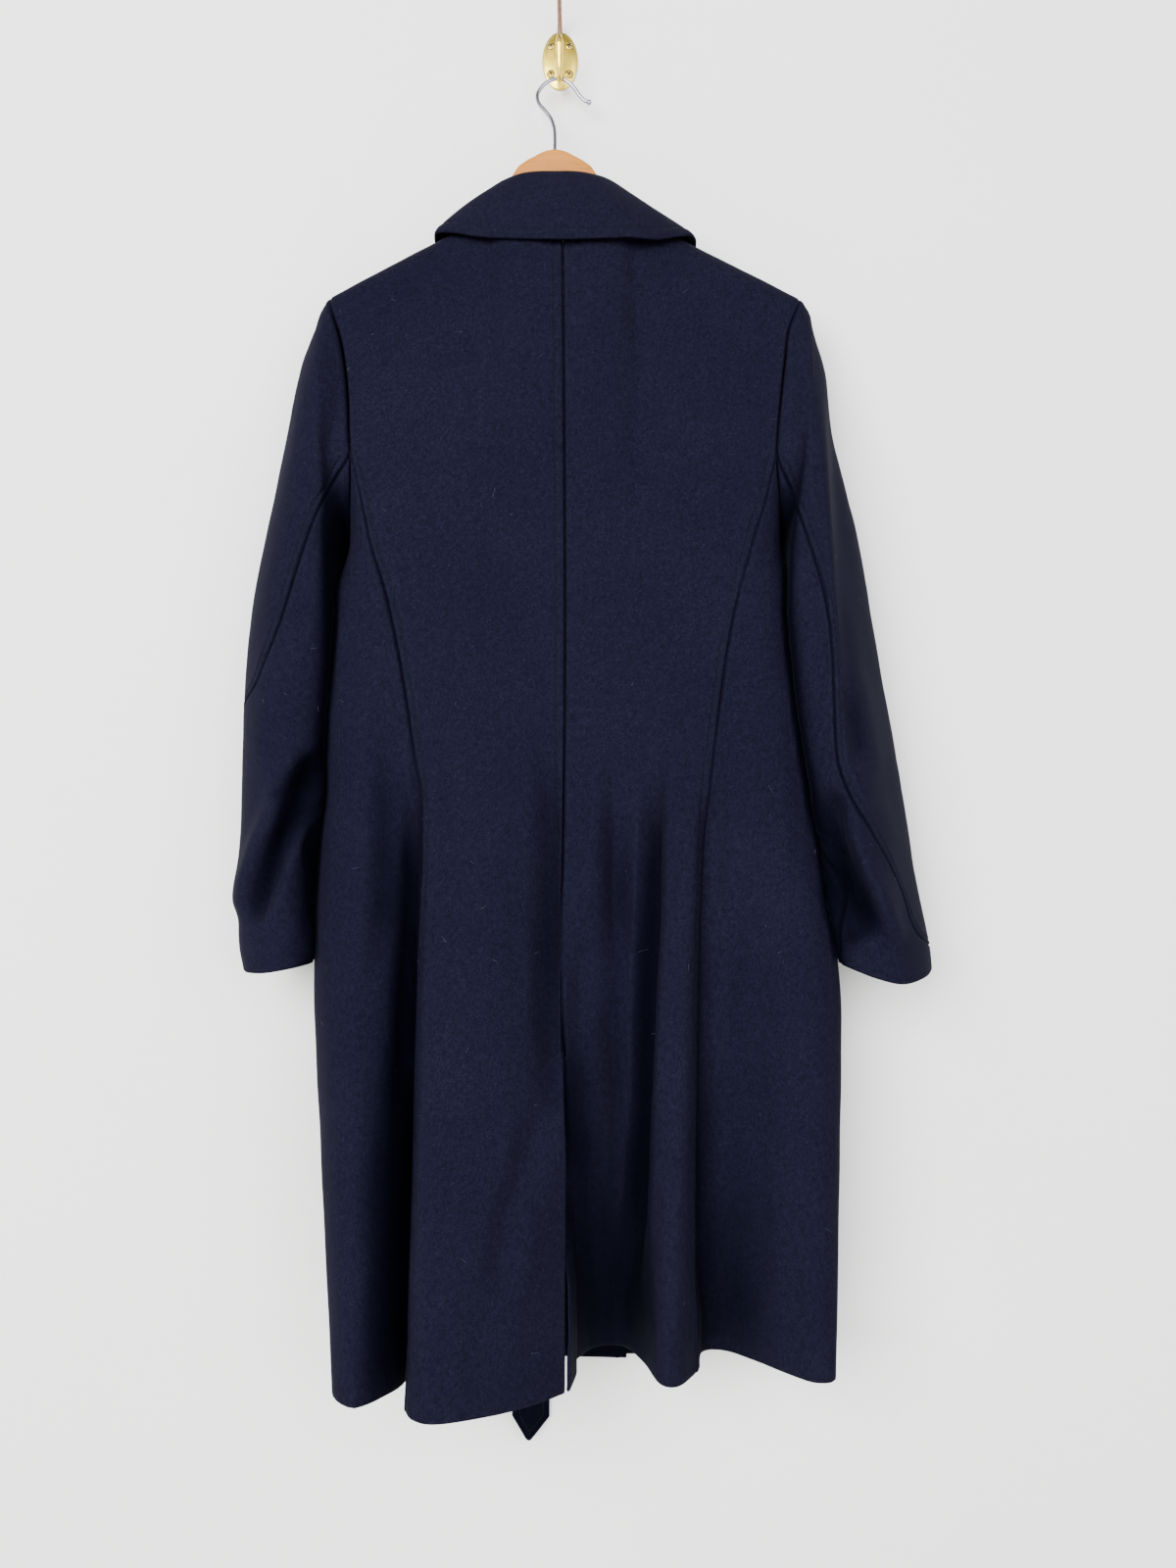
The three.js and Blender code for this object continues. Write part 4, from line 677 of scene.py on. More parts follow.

# brass painted dark: on the rod a painted reflection of a brown floor below, on the ring round each screw head painted
# shade
m, nt, b = new_material("dulled_brass")
tn = node(nt, "ShaderNodeTexNoise", Scale=220.0, Detail=4.0)
nt.links.new(scaled(nt, (1, 1, 0.3)), tn.inputs["Vector"])
nt.links.new(ramp(nt, tn.outputs["Fac"], [(0.3, (0.22, 0.125, 0.085)), (0.7, (0.34, 0.21, 0.14))]), b.inputs["Base Color"])
b.inputs["Metallic"].default_value = 0.9
b.inputs["Roughness"].default_value = 0.34
BRASS_PAINTED_REFLECTION_SHADE = m
# painted shade: near-black for the walls and floors of the screws' slots
m, nt, b = new_material("slot_dirt")
tn = node(nt, "ShaderNodeTexNoise", Scale=900.0, Detail=3.0)
nt.links.new(scaled(nt, (1, 1, 1)), tn.inputs["Vector"])
nt.links.new(ramp(nt, tn.outputs["Fac"], [(0.3, (0.012, 0.008, 0.006)), (0.7, (0.05, 0.034, 0.02))]), b.inputs["Base Color"])
b.inputs["Roughness"].default_value = 0.7
SLOT_PAINTED_SHADE = m

# ------------------------------------------------------------------ body of the coat
pieces = {}
GAP = 1.0           # how far a wall's face ends from its seam line; its rounded edge takes up the rest


def drawn_in(P, left=0.0, right=0.0, top=0.0):
    """Draws the sheet back from its seam lines, the most at the line itself. The weights are 0 .. 1, one a row or column."""
    Q = P.copy()
    step = np.linalg.norm(np.diff(P, axis=1), axis=2)
    arc = np.concatenate([np.zeros((len(P), 1)), np.cumsum(step, 1)], 1)
    along = unit(np.gradient(P, axis=1))
    w0 = np.exp(-arc / 1.7) * np.reshape(np.broadcast_to(left, len(P)), (-1, 1))
    w1 = np.exp(-(arc[:, -1:] - arc) / 1.7) * np.reshape(np.broadcast_to(right, len(P)), (-1, 1))
    Q += along * (GAP * (w0 - w1))[..., None]
    if np.any(np.asarray(top) > 0):
        drop = np.cumsum(np.concatenate([np.zeros((1, P.shape[1])), np.linalg.norm(np.diff(P, axis=0), axis=2)]), 0)
        Q += unit(np.gradient(P, axis=0)) * (GAP * np.exp(-drop / 1.9) * top)[..., None]
    return Q


def body_panel(side, kind):
    name = {"C": "back_", "S": "side_back_", "F": "front_"}[kind] + side
    up, low = rows_upper(side, kind), rows_lower(name)
    iw = len(up)
    P = np.concatenate([up, low])
    P = blur_rows(P, max(iw - 30, 3), min(iw + 26, len(P) - 2), 7)
    return name, P, iw


def cb_scale(z):
    # topstitch distance beside the centre-back seam narrows towards the vent
    return np.interp(-z, [177, 600, 780, 880, 924, 960, 1201], [1.04, 0.95, 0.82, 0.62, 0.55, 0.55, 0.55])


base = {}
for side in ("left", "right"):
    for kind in "CSF":
        base[side, kind] = body_panel(side, kind)

# the two panels that meet at the princess seam, read out; no points are changed here
for side in ("left", "right"):
    _, PC, iwC = base[side, "C"]
    _, PS, iwS = base[side, "S"]

# lines in picture coordinates, half width in pixels, depth in mm (minus is in), tapered share of the length
BACK_CREASES = [
    ([(390, 715), (393, 780), (394, 860), (393, 940), (388, 1020)], 10, -5.2, 0.25),
    ([(372, 820), (366, 930), (358, 1050), (352, 1180)], 14, 2.0, 0.3),
    ([(428, 730), (426, 790), (421, 860), (417, 940), (413, 1020), (410, 1100), (406, 1180)], 6, -5.5, 0.25),
    ([(442, 860), (438, 940), (434, 1040), (430, 1160), (428, 1280), (424, 1400)], 8, 2.6, 0.2),
    ([(671, 740), (669, 800), (667, 860), (665, 940), (660, 1020), (657, 1100), (653, 1180), (650, 1260), (648, 1340)], 6.5, -13.0, 0.24),
    ([(706, 780), (704, 860), (700, 940), (694, 1020), (692, 1100), (689, 1180), (686, 1260), (684, 1350)], 10, 5.4, 0.12),
    ([(724, 800), (722, 860), (719, 940), (718, 1020), (718, 1100), (717, 1180), (717, 1260), (716, 1350)], 5.5, -5.6, 0.12),
    ([(745, 860), (744, 960), (743, 1080), (742, 1200), (742, 1320)], 12, 1.8, 0.25),
    ([(768, 900), (770, 1000), (772, 1100), (774, 1200), (774, 1340)], 11, -3.2, 0.25),
    ([(815, 880), (822, 1000), (828, 1120), (830, 1260), (830, 1390)], 13, 2.2, 0.2),
    ([(352, 560), (360, 640), (372, 720)], 13, -1.0, 0.4),
    ([(520, 560), (500, 650), (470, 750)], 26, -0.9, 0.4),
    ([(640, 620), (655, 700), (672, 780)], 24, -0.8, 0.4),
]
PANEL_CREASES = {
    "back_left": [
        ([(566, 690), (565, 760), (564, 860), (563, 940), (563, 1020), (564, 1110), (566, 1160)], 10.5, -8.5, 0.32),
        ([(538, 820), (534, 900), (532, 1000), (530, 1080)], 15, -2.6, 0.3),
        ([(556, 1120), (545, 1160), (530, 1205), (519, 1245), (513, 1290), (510, 1340)], 12, -4.6, 0.25),
        ([(538, 1130), (520, 1180), (500, 1240), (492, 1300)], 18, 1.8, 0.35),
        ([(546, 1200), (540, 1260), (536, 1320), (533, 1390)], 12, 1.8, 0.3),
        ([(572, 1074), (560, 1086), (543, 1099)], 2.6, -1.1, 0.06),
        ([(478, 1374), (481, 1388)], 3.2, -1.6, 0.2),
        ([(500, 1310), (490, 1370), (484, 1440)], 11, -1.9, 0.25),
        ([(470, 290), (452, 350), (446, 430)], 20, 0.9, 0.35)],
    "back_right": [
        ([(627, 760), (629, 840), (629, 930), (628, 1010)], 8.5, -7.5, 0.42),
        ([(598, 820), (598, 900), (600, 980)], 9, 2.2, 0.35),
        ([(648, 830), (648, 920), (646, 1010)], 7, 2.6, 0.3),
        ([(622, 1000), (626, 1060), (632, 1120), (636, 1180)], 9, -4.5, 0.3),
        ([(592, 960), (594, 1040), (594, 1120)], 9, -3.0, 0.3),
        ([(610, 1190), (614, 1260), (618, 1340)], 11, 5.5, 0.3),
        ([(700, 330), (712, 400), (716, 470)], 24, 0.7, 0.35)],
    "side_back_left": [([(346, 1130), (352, 1240), (356, 1350)], 8, -1.0, 0.3)],
    "side_back_right": [([(800, 560), (806, 640), (812, 720)], 12, -0.9, 0.35)],
}

# hollows darkened with painted shade: a line in picture coordinates, half width in pixels, how much
PAINTED_SHADE_HOLLOWS = {
    "back_left": [([(563, 730), (562, 860), (561, 960), (562, 1080), (563, 1170)], 12, 0.34), ([(404, 750), (404, 800), (404, 880), (402, 940)], 12, 0.34)],
    "side_back_left": [([(386, 740), (390, 800), (392, 880), (390, 960)], 12, 0.30)],
    "back_right": [([(662, 860), (661, 940), (658, 1040), (656, 1140), (651, 1260)], 7, 0.62), ([(573, 1040), (573, 1110), (575, 1190)], 8, 0.4), ([(588, 1040), (590, 1120), (588, 1200)], 9, 0.25)],
    "sleeve_left": [([(318, 772), (308, 802), (295, 838), (281, 868), (270, 898), (262, 922), (256, 948)], 7.5, 0.60)],
    "sleeve_right": [([(846, 856), (857, 886), (870, 910), (884, 932), (902, 958)], 8.5, 0.66), ([(858, 900), (866, 935), (880, 965)], 9, 0.45), ([(866, 690), (872, 730), (879, 775)], 7.5, 0.45)],
}


def hollow(P, name):
    """Weight 0 .. 1 of painted shade over a sheet's points, near the listed hollow lines on the side the camera shows.
    """
    uv = project(P)
    out = np.zeros(P.shape[:2])
    for pts, width, amount in PAINTED_SHADE_HOLLOWS.get(name, []):
        d, s = seg_distance(uv, pts)
        out = 1 - (1 - out) * (1 - amount * np.exp(-0.5 * (d / width) ** 2) * smooth(-0.02, 0.4, s) * smooth(1.02, 0.84, s))
    return out


OUT_BACK, OUT_FRONT = np.array([0.0, -1.0, 0.0]), np.array([0.0, 1.0, 0.0])


def hem_shape(P, depth=38.0):
    """Weight 0..1 that rises over the turned-up hem at the foot of a panel."""
    z = P[..., 2]
    foot = z[-1][None]
    return smooth(depth + 3, depth - 1, z - foot)


for side in ("left", "right"):
    sx = -1.0 if side == "left" else 1.0
    arm = ARM[side]
    # ---- centre back panel
    name, P, iw = base[side, "C"]
    zrow = P[:, -1, 2]
    cb_edge = STITCHED if side == "left" else PLAIN
    G, d0, d1 = resample(P, STITCHED * 0.82, cb_edge, 38, scale0=1.0, scale1=cb_scale(zrow) if side == "left" else None)
    mask = None
    if side == "right":
        # the underlap of the vent, cut in one with this panel
        ul = np.array(UNDERLAP, float)
        free, mid = Spline(-ul[:, 0], ul[:, 1:3]), Spline(-ul[:, 0], ul[:, 3:5])
        cols = 15
        extra = np.empty((len(G), cols, 3))
        for i, z in enumerate(zrow):
            zz = min(z, VENT_TOP)
            root, nxt = G[i, -1], G[i, -2]
            pts = np.array([[*root[:2], z], [*mid(-zz), z], [*free(-zz), z]])
            pts[2, 2] -= 26 * smooth(VENT_TOP - 60, VENT_TOP, z)
            extra[i] = path(np.concatenate([[G[i, -6]], pts]))(np.linspace(0.0, 1, 60))[-cols:]
            f = path(np.concatenate([[G[i, -4]], pts]))
            tt = np.linalg.norm(pts[0] - G[i, -4])
            tot = tt + np.linalg.norm(pts[1] - pts[0]) + np.linalg.norm(pts[2] - pts[1])
            extra[i] = f(np.linspace(tt / tot, 1, cols + 1)[1:])
        G = np.concatenate([G, extra], 1)
        d0 = np.concatenate([d0, d0[:, -1:] + np.cumsum(np.linalg.norm(np.diff(G[:, -cols - 1:], axis=1), axis=2), 1)], 1)
        d1 = np.concatenate([np.where(zrow[:, None] > VENT_TOP - 1, d1, 99), np.full((len(G), cols), 99.0)], 1)
        nb = G.shape[1] - cols
        mask = np.ones((G.shape[0] - 1, G.shape[1] - 1), bool)
        top = int(np.argmax(zrow <= VENT_TOP - 1))
        mask[:top, nb - 1:] = False
    N = normals(G, OUT_BACK, mask)
    pieces[name] = dict(P=G, N=N, d0=d0, d1=d1, iw=iw, mask=mask, side=side, kind="C", t=2.0)
    # ---- side back panel
    name, P, iw = base[side, "S"]
    G, d0, d1 = resample(P, PLAIN, PLAIN, 26 if side == "left" else 30)
    pieces[name] = dict(P=G, N=normals(G, OUT_BACK), d0=d0, d1=d1, iw=iw, mask=None, side=side, kind="S", t=2.0)
    # ---- front panel
    name, P, iw = base[side, "F"]
    G, d0, d1 = resample(P, PLAIN, STITCHED, 30)
    pieces[name] = dict(P=G, N=normals(G, OUT_FRONT), d0=d0, d1=d1, iw=iw, mask=None, side=side, kind="F", t=2.0)

# one outward direction along each seam, so that the walls meet without a step
for side in ("left", "right"):
    sx = -1.0 if side == "left" else 1.0
    C, S, F = pieces["back_" + side], pieces["side_back_" + side], pieces["front_" + side]
    # princess seam: the centre panel's column 0, the side panel's last column, matched by height
    zc, zs = C["P"][:, 0, 2], S["P"][:, -1, 2]
    nc = C["N"][:, 0].copy()
    ns = S["N"][:, -1].copy()
    on_c = zc <= ARMHOLE[side][5][2] + 0.5
    for k in range(3):
        a = np.interp(-zc, -zs, ns[:, k])
        bb = np.interp(-zs, -zc[on_c], nc[on_c][:, k])
        C["N"][on_c, 0, k] = (nc[on_c, k] + a[on_c])
        S["N"][:, -1, k] = ns[:, k] + bb
    C["N"][:, 0] = unit(C["N"][:, 0])
    S["N"][:, -1] = unit(S["N"][:, -1])
    side_n = unit([sx, 0.25, 0])
    S["N"][:, 0] = side_n
    F["N"][:, 0] = side_n
    z = C["P"][:, -1, 2] if side == "left" else None
    if side == "left":
        up = C["P"][:, -1, 2] > VENT_TOP
        C["N"][up, -1, 0] = 0
        C["N"][:, -1] = unit(C["N"][:, -1])
    else:
        nb = C["P"].shape[1] - 15
        up = C["P"][:, nb - 1, 2] > VENT_TOP
        C["N"][up, nb - 1, 0] = 0
        C["N"][:, nb - 1] = unit(C["N"][:, nb - 1])

for name, p in pieces.items():
    P, N, d0, d1 = p["P"], p["N"], p["d0"], p["d1"]
    side, kind = p["side"], p["kind"]
    z = P[..., 2]
    disp = np.zeros(P.shape[:2])
    uneven = 0.55 if kind != "F" else 0.9
    if kind == "F":
        # calmer where the fronts, lapels and belt ends lie on each other
        uneven = 0.9 - 0.75 * smooth(-470, -430, z) * smooth(125, 95, np.abs(P[..., 0] - 4)) - 0.6 * smooth(85, 60, np.abs(P[..., 0] + 2)) * smooth(-440, -480, z)
    disp += uneven * waves(P, {"C": 3, "S": 5, "F": 7}[kind] + (0 if side == "left" else 20), 150.0)
    disp += 0.16 * waves(P, 40 + {"C": 3, "S": 5, "F": 7}[kind], 38.0)
    if kind == "S":
        cshare = d0 / (d0 + d1)
        full = smooth(ARMHOLE[side][8][2] - 4, ARMHOLE[side][8][2] - 60, z) * smooth(-720, -620, z)
        disp += 8.5 * full * np.sin(np.pi * np.clip(cshare, 0, 1)) ** 0.9
    if kind == "C":
        below = smooth(ARMHOLE[side][5][2] + 12, ARMHOLE[side][5][2] - 2, z)
        disp += seam_roll(d0, 0.85, 1.1)
        disp += topstitch(d0, at=8.0 * 0.82) * below
        if side == "left":
            vent = smooth(VENT_TOP + 4, VENT_TOP - 4, z)
            disp += seam_roll(d1, 0.8, 1.0) * (1 - vent) + topstitch(d1) * (1 - vent)
            disp += -0.5 * np.exp(-(d1 / 0.9) ** 2) * vent
        else:
            disp += seam_roll(d1, 0.8, 1.0)
    elif kind == "S":
        disp += seam_roll(d1, 0.85, 1.1) + seam_roll(d0, 0.7, 1.0)
        # armhole edge along the top row
        top = np.linalg.norm(np.cumsum(np.concatenate([np.zeros((1, P.shape[1], 3)), np.diff(P, axis=0)]), 0), axis=2)
        disp += seam_roll(top, 0.6, 1.4)
    else:
        disp += seam_roll(d0, 0.7, 1.0)
        disp += topstitch(d1)
    p["P"] = P = P + N * disp[..., None]
    # ---- folds and creases that the tables don't hold; the same lines on both sides of a seam keep it closed
    if kind != "F":
        for pts, width, depth, taper in BACK_CREASES:
            P = crease(P, N, pts, width, depth, taper)
    for pts, width, depth, taper in PANEL_CREASES.get(name, []):
        P = crease(P, N, pts, width, depth, taper)
    if kind == "F":
        # the hidden fronts: long soft drags from the bust to the hem, unevenly spaced
        x, zz = P[..., 0], P[..., 2]
        for i, (x0, x1, w, amp, za, zb) in enumerate([(-120, -132, 22, -2.2, -520, -1240), (-60, -52, 30, 1.8, -640, -1240), (96, 112, 24, -2.4, -560, -1240),
                                                      (150, 172, 18, 1.9, -700, -1240), (30, 24, 34, 1.2, -700, -1240), (-160, -172, 14, 1.4, -760, -1220)]):
            line = x0 + (x1 - x0) * np.clip((zz - za) / (zb - za), 0, 1)
            g = np.exp(-0.5 * ((x - line) / w) ** 2) * smooth(za, za - 160, zz) * (1 - smooth(95, 62, np.abs(x + 6)))
            P = P + N * (amp * g)[..., None]
    p["P"] = P


def remask_hem(p):
    """The foot of the panel is turned up: a thicker, rounded edge."""
    h = hem_shape(p["P"])
    foot = np.abs(p["P"][..., 2] - p["P"][-1, :, 2][None])
    return p["t"] + 0.9 * h * smooth(40, 30, foot) + 0.5 * np.exp(-(foot / 3.0) ** 2)


for name, p in pieces.items():
    P, N = p["P"], p["N"]
    if p["kind"] == "C":
        nb = P.shape[1] - (15 if p["side"] == "right" else 0)
        above = smooth(VENT_TOP - 1, VENT_TOP + 9, P[:, nb - 1, 2])
        P = np.concatenate([drawn_in(P[:, :nb], left=1.0, right=above), P[:, nb:]], 1)
    elif p["kind"] == "S":
        P = drawn_in(P, left=1.0, right=1.0, top=1.0)
    else:
        P = drawn_in(P, left=1.0)
    d0, d1 = p["d0"], p["d1"]
    # painted shade along the seams, the stitch lines and the armhole edge
    shut = np.exp(-(d0 / 1.35) ** 2)
    if p["kind"] != "F":
        closed = 1.0 if p["kind"] == "S" else smooth(VENT_TOP - 2, VENT_TOP + 2, P[..., 2])
        shut = np.maximum(shut, np.exp(-(d1 / 1.35) ** 2) * closed)
    if p["kind"] == "S":
        from_top = np.linalg.norm(P - P[0][None], axis=2)
        shut = np.maximum(shut, np.exp(-(from_top / 1.3) ** 2))
    if p["kind"] == "C":
        below_arm = smooth(ARMHOLE[p["side"]][5][2] + 10, ARMHOLE[p["side"]][5][2] - 2, P[..., 2])
        shut = np.maximum(shut, 0.5 * np.exp(-((d0 - 8.0 * 0.82) / 0.8) ** 2) * below_arm)
        if p["side"] == "left":
            shut = np.maximum(shut, 0.5 * np.exp(-((d1 - 8.0) / 0.8) ** 2) * smooth(VENT_TOP - 2, VENT_TOP + 2, P[..., 2]))
    # the hollow mask carries painted shade into the listed hollows
    p["object"] = shell("cloth_" + name, P, N, remask_hem(p), p["mask"], WOOL, (name,), shut=shut, deep=hollow(P, name))

# topstitch lines on the body
for side in ("left", "right"):
    p = pieces["back_" + side]
    z = p["P"][:, STITCH_COL, 2]
    rows = z < ARMHOLE[side][5][2] - 2
    add_stitches(p["P"][rows, STITCH_COL], p["N"][rows, STITCH_COL])
p = pieces["back_left"]
cc = p["P"].shape[1] - 1 - STITCH_COL
rows = (p["P"][:, cc, 2] > VENT_TOP + 2) & (p["P"][:, cc, 2] < -205)
add_stitches(p["P"][rows, cc], p["N"][rows, cc])


def on_surface(P, N, pts, lift=0.0):
    """Points of a sheet nearest to picture coordinates."""
    uv = project(P)
    facing = N[..., 1] < 0.2
    out_p, out_n = [], []
    pts = np.asarray(pts, float)
    fine = []
    for a, b in zip(pts[:-1], pts[1:]):
        k = max(2, int(np.linalg.norm(b - a) / 2.5))
        fine += [a + (b - a) * t for t in np.linspace(0, 1, k, endpoint=False)]
    fine.append(pts[-1])
    for q in fine:
        d = np.linalg.norm(uv - q, axis=-1) + np.where(facing, 0, 1e6)
        i = np.argsort(d, axis=None)[:4]
        ii = np.unravel_index(i, d.shape)
        w = 1 / (d[ii] + 0.05) ** 2
        w /= w.sum()
        out_p.append((P[ii] * w[:, None]).sum(0))
        out_n.append(unit((N[ii] * w[:, None]).sum(0)))
    return np.array(out_p), np.array(out_n)


add_stitches(*on_surface(p["P"], p["N"], [(569.5, 1077), (561, 1084.5), (552.5, 1091), (544, 1097.5)]))
for side in ("left", "right"):
    p = pieces["front_" + side]
    cc = p["P"].shape[1] - 1 - STITCH_COL
    rows = p["P"][:, cc, 2] < -230
    add_stitches(p["P"][rows, cc], p["N"][rows, cc])

# ------------------------------------------------------------------ sleeves
SLEEVE = {
    # outer xyz, inner xyz, near share and y, step share and y, far share and y, far-out share and y, hind, fore
    "left": [
        [[-216.5, -50, -259], [-191, -52, -483], [0.52, -102], [0.2, -84], [0.70, -17], [0.25, -19], 0.335, 0.655],
        [[-224, -52, -283], [-193.5, -54, -495], [0.55, -108], [0.2, -90], [0.70, -15], [0.25, -17], 0.30, 0.65],
        [[-236, -54, -322], [-197, -55, -513], [0.56, -113], [0.22, -96], [0.70, -14], [0.25, -16], 0.265, 0.64],
        [[-248, -55, -383], [-201, -56, -541], [0.56, -118], [0.22, -99], [0.70, -14], [0.25, -15], 0.225, 0.63],
        [[-265, -56, -469], [-206.5, -57, -581], [0.56, -121], [0.22, -101], [0.70, -15], [0.25, -15], 0.175, 0.615],
        [[-278, -58, -541], [-211, -58, -626], [0.56, -122], [0.22, -101], [0.70, -16], [0.25, -15], 0.12, 0.60],
        [[-284.5, -60, -620], [-215, -60, -680], [0.56, -122], [0.22, -101], [0.70, -18], [0.25, -16], 0.06, 0.575],
        [[-286, -62, -703], [-219, -61, -738], [0.58, -121], [0.22, -102], [0.70, -20], [0.25, -18], 0.0, 0.53],
        [[-287, -64, -770], [-221, -62, -788], [0.58, -120], [0.22, -103], [0.70, -23], [0.25, -20], -0.04, 0.47],
        [[-287, -66, -829], [-223, -62, -838], [0.56, -120], [0.2, -104], [0.70, -26], [0.25, -22], -0.06, 0.44],
        [[-282, -68, -858], [-225, -62, -849], [0.55, -119], [0.2, -104], [0.70, -28], [0.25, -24], -0.065, 0.43]],
    "right": [
        [[229, -50, -261], [203, -52, -484], [0.60, -104], [0.22, -84], [0.70, -17], [0.25, -19], 0.335, 0.655],
        [[234, -52, -284], [206, -54, -494], [0.62, -112], [0.22, -88], [0.70, -15], [0.25, -17], 0.30, 0.65],
        [[245, -52, -335], [210, -55, -514], [0.66, -120], [0.24, -92], [0.70, -14], [0.25, -16], 0.275, 0.64],
        [[256, -52, -390], [214, -56, -541], [0.70, -126], [0.26, -95], [0.70, -14], [0.25, -15], 0.255, 0.63],
        [[271, -50, -463], [219, -57, -581], [0.72, -130], [0.27, -95], [0.70, -14], [0.25, -15], 0.24, 0.615],
        [[286, -50, -545], [224.5, -58, -626], [0.74, -132], [0.28, -94], [0.70, -14], [0.25, -15], 0.225, 0.60],
        [[300, -50, -622], [232, -60, -680], [0.75, -132], [0.28, -92], [0.70, -15], [0.25, -15], 0.21, 0.575],
        [[313, -50, -697], [242, -61, -735], [0.76, -131], [0.28, -92], [0.70, -16], [0.25, -15], 0.20, 0.54],
        [[325, -52, -775], [252, -60, -785], [0.70, -128], [0.26, -96], [0.70, -17], [0.25, -16], 0.15, 0.50],
        [[336, -54, -833], [257, -56, -832], [0.60, -122], [0.22, -98], [0.70, -18], [0.25, -17], 0.06, 0.46],
        [[338.5, -56, -857], [260, -54, -848], [0.52, -119], [0.2, -98], [0.70, -20], [0.25, -18], 0.01, 0.45]],
}
SLEEVE_FINE = 170
# where the arm parts from the body, and the two sleeve seams, as they show (picture coordinates)
ARM_GAP = {
    "left": [(352, 470), (348, 502), (341, 536), (336, 576), (334, 625), (333, 675), (331, 709), (326, 754), (321, 800), (319, 860), (317, 940), (318, 983)],
    "right": [(792, 470), (796, 487), (804, 536), (808, 625), (816, 690), (826, 749), (833, 798), (841, 832), (850, 872), (854, 900), (855, 980)],
}
HIND_SEAM = {
    "left": [(357, 463), (344, 486), (331, 509), (320, 531), (311, 554), (299, 591), (289, 625), (277, 657), (267, 682), (259, 707), (254, 729)],
    "right": [(793, 465), (806, 497), (816, 527), (828, 561), (838, 591), (845, 625), (849, 660), (851, 700), (852, 745), (855, 791), (873, 823), (892, 857), (910, 887), (922, 911), (934, 956), (942, 985)],
}
FORE_SEAM = {"left": [(276, 790), (288, 823), (303, 867), (321, 911), (322, 960)], "right": [(868, 902), (862, 920), (857, 940), (855, 970)]}


CUFF_DIP = {"left": 2.5, "right": 13.0}
# how much nearer to the body the inner side of each sleeve row lies, in mm
CLOSER = {"left": [0, -2.5, 1, 5.0, 4.5, 5.5, 5.5, 4.7, 3.5, 1.8, 3.0], "right": [0, -2.5, 2, 7, 7, 8.0, 4.6, 5, 7, 3.5, 3]}


def across_at(pts, v):
    pts = np.asarray(pts, float)
    return np.interp(v, pts[:, 1], pts[:, 0])


